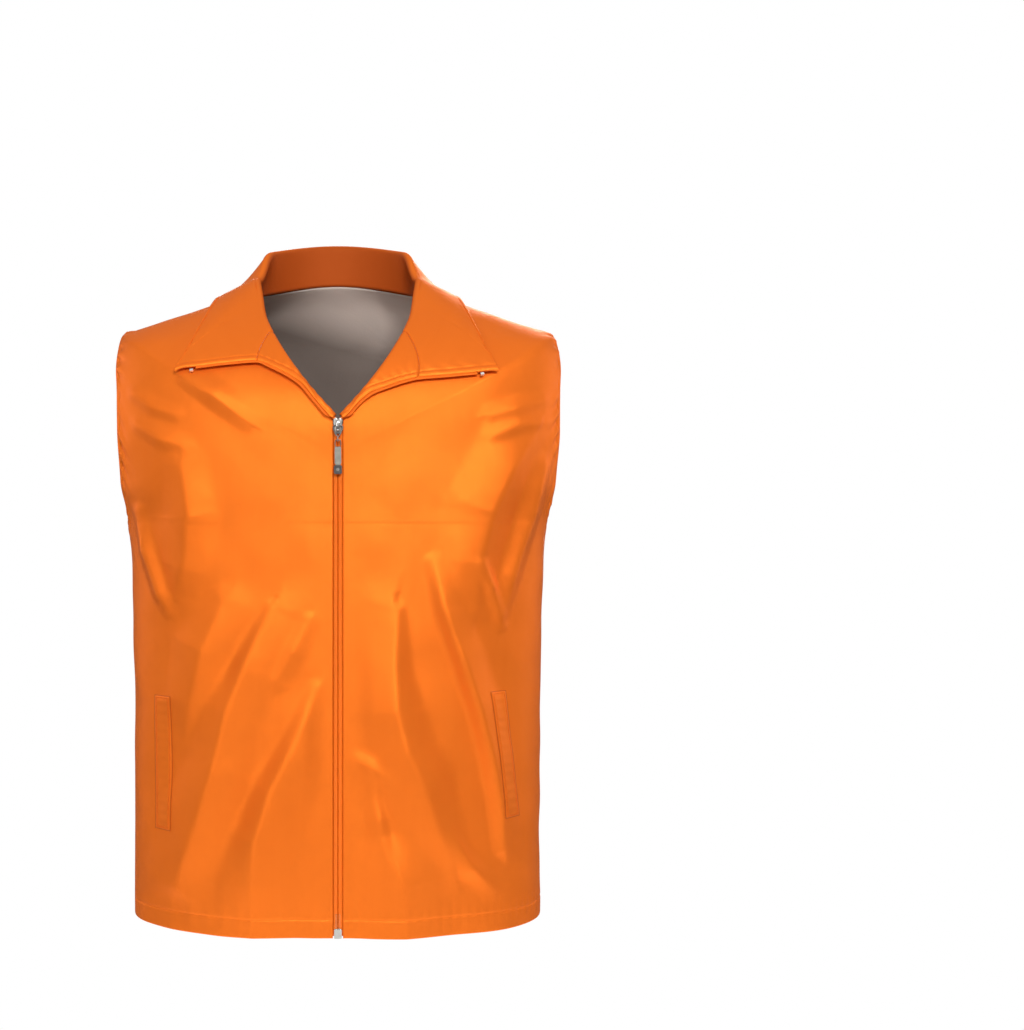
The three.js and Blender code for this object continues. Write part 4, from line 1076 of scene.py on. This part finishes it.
# Along a stitch, from -0.5 to 0.5 of its length, and its thickness there.
STITCH_SHAPE = np.array([(-0.5, 0.25), (-0.38, 0.85), (-0.12, 1.0), (0.12, 1.0), (0.38, 0.85), (0.5, 0.25)])
SEWN_LIFT = -0.42
WELT_SEWN = 1.1
SEAM_CLEAR = 0.002


def stitches(name, lines):
    """Rows of sewn thread: each stitch a small rounded bar, thinner at both ends."""
    parts = []
    for path in lines:
        run = running_length(path)
        for middle in np.arange(STITCH_PITCH / 2, run[-1], STITCH_PITCH):
            spots = middle + STITCH_SHAPE[:, 0] * STITCH_LENGTH
            points = np.stack([np.interp(spots, run, path[:, k]) for k in range(3)], -1)
            way = unit(points[-1] - points[0])
            a = unit(np.cross(way, np.array([0.31, 0.2, 0.93])))
            ring = circle(a, np.cross(way, a), 6)
            parts.append(points[:, None] + ring * (STITCH_RADIUS * STITCH_SHAPE[:, 1])[:, None, None])
    obj = join_meshes(name, parts)
    finish_piece(obj, "shell_cloth")
    obj.data.materials[0] = THREAD


def hem_lines():
    up = float(up_at_z(HEM_Z + HEM_STITCH))
    front = np.linspace(float(around_at_x(FRONT_EDGE_X + 1, up)), QUARTER - SEAM_CLEAR, 700)
    back = np.linspace(QUARTER + SEAM_CLEAR, 3 * QUARTER - SEAM_CLEAR, 1400)
    rows = ((front, 1), (front, -1), (back, 1))
    return [cloth(arounds, up + 0 * arounds, SEWN_LIFT, side) for arounds, side in rows]


def armhole_lines():
    turn = np.linspace(0, 2 * math.pi, 1600)
    share = 1 + ARMHOLE_STITCH / armhole_radius(turn)
    arounds = QUARTER - share * ARMHOLE_SWEEP * np.cos(turn)
    ups = ARMHOLE_MIDDLE + share * ARMHOLE_RISE * np.sin(turn)
    return [cloth(arounds, ups, SEWN_LIFT, side) for side in (1, -1)]


def collar_line(grid):
    """An even distance from the free edge of a collar or lapel grid."""
    down = running_length(grid, 1)
    from_edge = down[:, -1:] - down
    return np.array([[np.interp(COLLAR_STITCH, gaps[::-1], row[::-1, k]) for k in range(3)]
                     for row, gaps in zip(grid, from_edge)])


def welt_lines(pocket):
    """Both long sides of the welt, then both ends."""
    end = WELT_STITCH / (pocket["top_z"] - pocket["bottom_z"])
    side = WELT_STITCH / WELT_WIDTH
    rises = np.linspace(end, 1 - end, 200)
    shares = np.linspace(side, 1 - side, 40)
    rows = [(rises, np.array([share])) for share in (side, 1 - side)]
    rows += [(np.array([rise]), shares) for rise in (end, 1 - end)]
    lines = []
    for row in rows:
        arounds, ups = pocket_grid(pocket, -WELT_WIDTH / 2, WELT_WIDTH / 2, 0, *row)
        lines.append(cloth(arounds.ravel(), ups.ravel(), WELT_SEWN, pocket["side"]))
    return lines


def sew(tops):
    stitches("stitching_hem", hem_lines())
    stitches("stitching_armholes", armhole_lines())
    stitches("stitching_collar", [collar_line(grid) for grid in tops])
    stitches("stitching_welts", [line for pocket in POCKETS.values() for line in welt_lines(pocket)])


# ---- metal parts --------------------------------------------------------------------------------
METAL_LOOKS = {
    "slider_lock_spring": "nickel", "puller_link": "nickel",
    "puller_rivet": "nickel", "puller_plate": "grey_metal", "puller_end_cap": "dark_nickel",
    "zip_top_stop_left": "pale_nickel", "zip_top_stop_right": "pale_nickel", "zip_retainer_pin": "nickel",
    "zip_insertion_pin": "nickel", "zip_retainer_box": "pale_nickel",
}


def rounded_outline(corners, rounds=3):
    """A closed outline with its corners cut again and again until they are round."""
    points = np.asarray(corners, float)
    for _ in range(rounds):
        ahead = np.roll(points, -1, axis=0)
        points = np.stack([0.75 * points + 0.25 * ahead, 0.25 * points + 0.75 * ahead], 1).reshape(-1, 2)
    return points


def pressed(outline, front_y, back_y, edge, dome=0.0):
    """The rings of a plate drawn as x, z, its rim rounded by edge and its front raised by dome."""
    middle = outline.mean(0)
    rim = 1 - edge / np.abs(outline - middle).max()
    near_rim = rim + 0.7 * (1 - rim)
    steps = [(0.3, front_y - dome), (0.6, front_y - dome * 0.7), (rim * 0.9, front_y - dome * 0.15),
             (rim, front_y), (near_rim, front_y + 0.3 * edge), (1.0, front_y + edge),
             (1.0, back_y - edge), (near_rim, back_y - 0.3 * edge), (rim, back_y), (0.5, back_y)]
    rings = []
    for share, y in steps:
        flat = middle + (outline - middle) * share
        rings.append(np.stack([flat[:, 0], np.full(len(flat), y), flat[:, 1]], -1)[::-1])
    return np.array(rings)


def strap(path, half_width, half_depth):
    """The rings of a bent metal strap along a path of y, z, with rounded sides."""
    points = np.stack([0 * path[:, 0], path[:, 0], path[:, 1]], -1)
    across = np.array([1.0, 0, 0])
    off = np.cross(unit(np.gradient(points, axis=0)), across)[:, None]
    turn = np.linspace(0, 2 * math.pi, 20, endpoint=False)[:, None]
    wide = signed_power(np.cos(turn), 0.6)
    deep = signed_power(np.sin(turn), 0.6)
    return points[:, None] + across * wide * half_width[:, None, None] + off * deep * half_depth


SLIDER_HALF_OUTLINE = [(0.7, -146.2), (1.5, -145.1), (3.3, -145.0), (4.5, -146.4), (4.5, -150.5),
                       (3.9, -155.0), (3.7, -160.2), (3.0, -161.0), (0.6, -161.0)]
FLANGE_HALF_OUTLINE = [(3.2, -147.0), (4.4, -147.0), (4.3, -151.5), (3.9, -158.8), (3.1, -158.8)]
POST_OUTLINE = [(-0.45, -146.4), (0.45, -146.4), (0.45, -151.0), (-0.45, -151.0)]
ARCH_PATH = [(-132.5, -147.2), (-134.4, -147.3), (-135.8, -148.6), (-136.3, -150.6), (-136.35, -153.0),
             (-136.1, -155.4), (-135.0, -157.3), (-132.7, -158.1)]


def slider():
    """The slider: two plates that close over the coil, joined by a post, and the arch the puller hangs in."""
    half = np.array(SLIDER_HALF_OUTLINE)
    face = rounded_outline(np.concatenate([half, half[::-1] * [-1, 1]]), 2)
    flange = np.array(FLANGE_HALF_OUTLINE)
    parts = [pressed(face, -132.5, -131.1, 0.45, 0.35), pressed(face, -127.3, -126.1, 0.4)]
    for side in (1, -1):
        parts.append(pressed(rounded_outline(flange * [side, 1], 1)[::side], -131.3, -129.2, 0.2))
    parts.append(pressed(rounded_outline(POST_OUTLINE, 1), -131.3, -127.1, 0.1))
    obj = join_meshes("slider_plates", parts)
    outward(obj)
    finish_piece(obj, "nickel", "slider_body", body="zip_slider")
    obj.data.materials[0] = PLATES
    path = resample(np.insert(np.array(ARCH_PATH), 0, 0, axis=1), 0.3)[0][:, 1:]
    share = np.linspace(0, 1, len(path))
    arch = join_meshes("slider_arch", [strap(path, 1.15 + 0.65 * np.sin(share * math.pi) ** 2, 0.55)])
    outward(arch)
    finish_piece(arch, "nickel", "slider_bridge", body="zip_slider")


def outward(obj):
    """Makes every face of a piece made of several closed parts look outwards."""
    mesh = bmesh.new()
    mesh.from_mesh(obj.data)
    bmesh.ops.recalc_face_normals(mesh, faces=mesh.faces)
    mesh.to_mesh(obj.data)
    mesh.free()


def metal_parts():
    """The CAD's own metal, with its finish and a small bevel on every edge."""
    for node, look in METAL_LOOKS.items():
        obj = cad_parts[node]
        obj.data.materials.clear()
        obj.data.materials.append(LOOKS[look])
        bevel = obj.modifiers.new("soft edges", "BEVEL")
        bevel.width = 0.00018
        bevel.segments = 2
        bevel.limit_method = "ANGLE"
        bevel.angle_limit = math.radians(38)
        bevel.harden_normals = False


# ---- light and floor ----------------------------------------------------------------------------
def light(name, place, aim, size, power):
    data = bpy.data.lights.new(name, "AREA")
    data.shape = "RECTANGLE"
    data.size, data.size_y = size
    data.energy = power
    obj = bpy.data.objects.new(name, data)
    obj.location = place
    obj.rotation_euler = (Vector(aim) - Vector(place)).to_track_quat("-Z", "Y").to_euler()
    bpy.context.scene.collection.objects.link(obj)


WORLD_LIGHT = 0.57
KEY_LIGHT = 66.0
FILL_LIGHT = 16.0
BACK_LIGHT = 60.0
SIDE_LIGHT = 10.0
FLOOR_Z = -1.05
FLOOR_SIZE = 1.5


def studio():
    """White behind the vest, a soft sky over it, five lamps and a white floor."""
    world = bpy.data.worlds.new("studio")
    bpy.context.scene.world = world
    world.use_nodes = True
    tree = world.node_tree
    tree.nodes.clear()
    new, link = tree.nodes.new, tree.links.new
    seen = new("ShaderNodeBackground")
    seen.inputs["Color"].default_value = rgb(1, 1, 1)
    cast = new("ShaderNodeBackground")
    way = new("ShaderNodeTexCoord")
    split = new("ShaderNodeSeparateXYZ")
    link(way.outputs["Generated"], split.inputs[0])
    ramp = new("ShaderNodeValToRGB")
    rise = new("ShaderNodeMapRange")
    rise.inputs["From Min"].default_value = -1
    link(split.outputs["Z"], rise.inputs["Value"])
    link(rise.outputs["Result"], ramp.inputs[0])
    ramp.color_ramp.elements[0].color = rgb(0.22, 0.215, 0.21)
    ramp.color_ramp.elements[1].color = rgb(1, 1, 1)
    ramp.color_ramp.elements.new(0.5).color = rgb(0.4, 0.395, 0.39)
    link(ramp.outputs[0], cast.inputs["Color"])
    cast.inputs["Strength"].default_value = WORLD_LIGHT
    path = new("ShaderNodeLightPath")
    mix = new("ShaderNodeMixShader")
    out = new("ShaderNodeOutputWorld")
    link(path.outputs["Is Camera Ray"], mix.inputs[0])
    link(cast.outputs[0], mix.inputs[1])
    link(seen.outputs[0], mix.inputs[2])
    link(mix.outputs[0], out.inputs[0])
    light("key", (0.5, -2.6, 1.15), (0, 0, -0.3), (0.7, 0.7), KEY_LIGHT)
    light("fill", (-1.0, -2.4, 0.3), (0, 0, -0.35), (1.0, 1.0), FILL_LIGHT)
    light("back", (0.4, 2.5, 0.5), (0, 0, -0.3), (1.6, 1.6), BACK_LIGHT)
    for side in (-1, 1):
        light("side", (2.2 * side, 0.8, 0.1), (0, 0, -0.35), (1.2, 1.2), SIDE_LIGHT)
    bpy.context.scene.view_settings.view_transform = "Standard"
    bpy.ops.mesh.primitive_grid_add(x_subdivisions=4, y_subdivisions=4, size=FLOOR_SIZE,
                                    location=(0, 0, FLOOR_Z))
    floor = bpy.context.object
    floor.name = "floor"
    nodes = Nodes("floor_white")
    speck = nodes.noise(nodes.add("ShaderNodeTexCoord").outputs["Object"], 3.0)
    colour = nodes.blend(speck, rgb(0.9, 0.9, 0.9), rgb(0.94, 0.94, 0.94))
    nodes.drive(Base_Color=colour, Roughness=0.9, Emission_Color=rgb(1, 1, 1), Emission_Strength=0.55)
    floor.data.materials.append(nodes.material)


body_panels()
pockets()
collar_tops = collar()
zip_parts()
sew(collar_tops)
slider()
metal_parts()
studio()
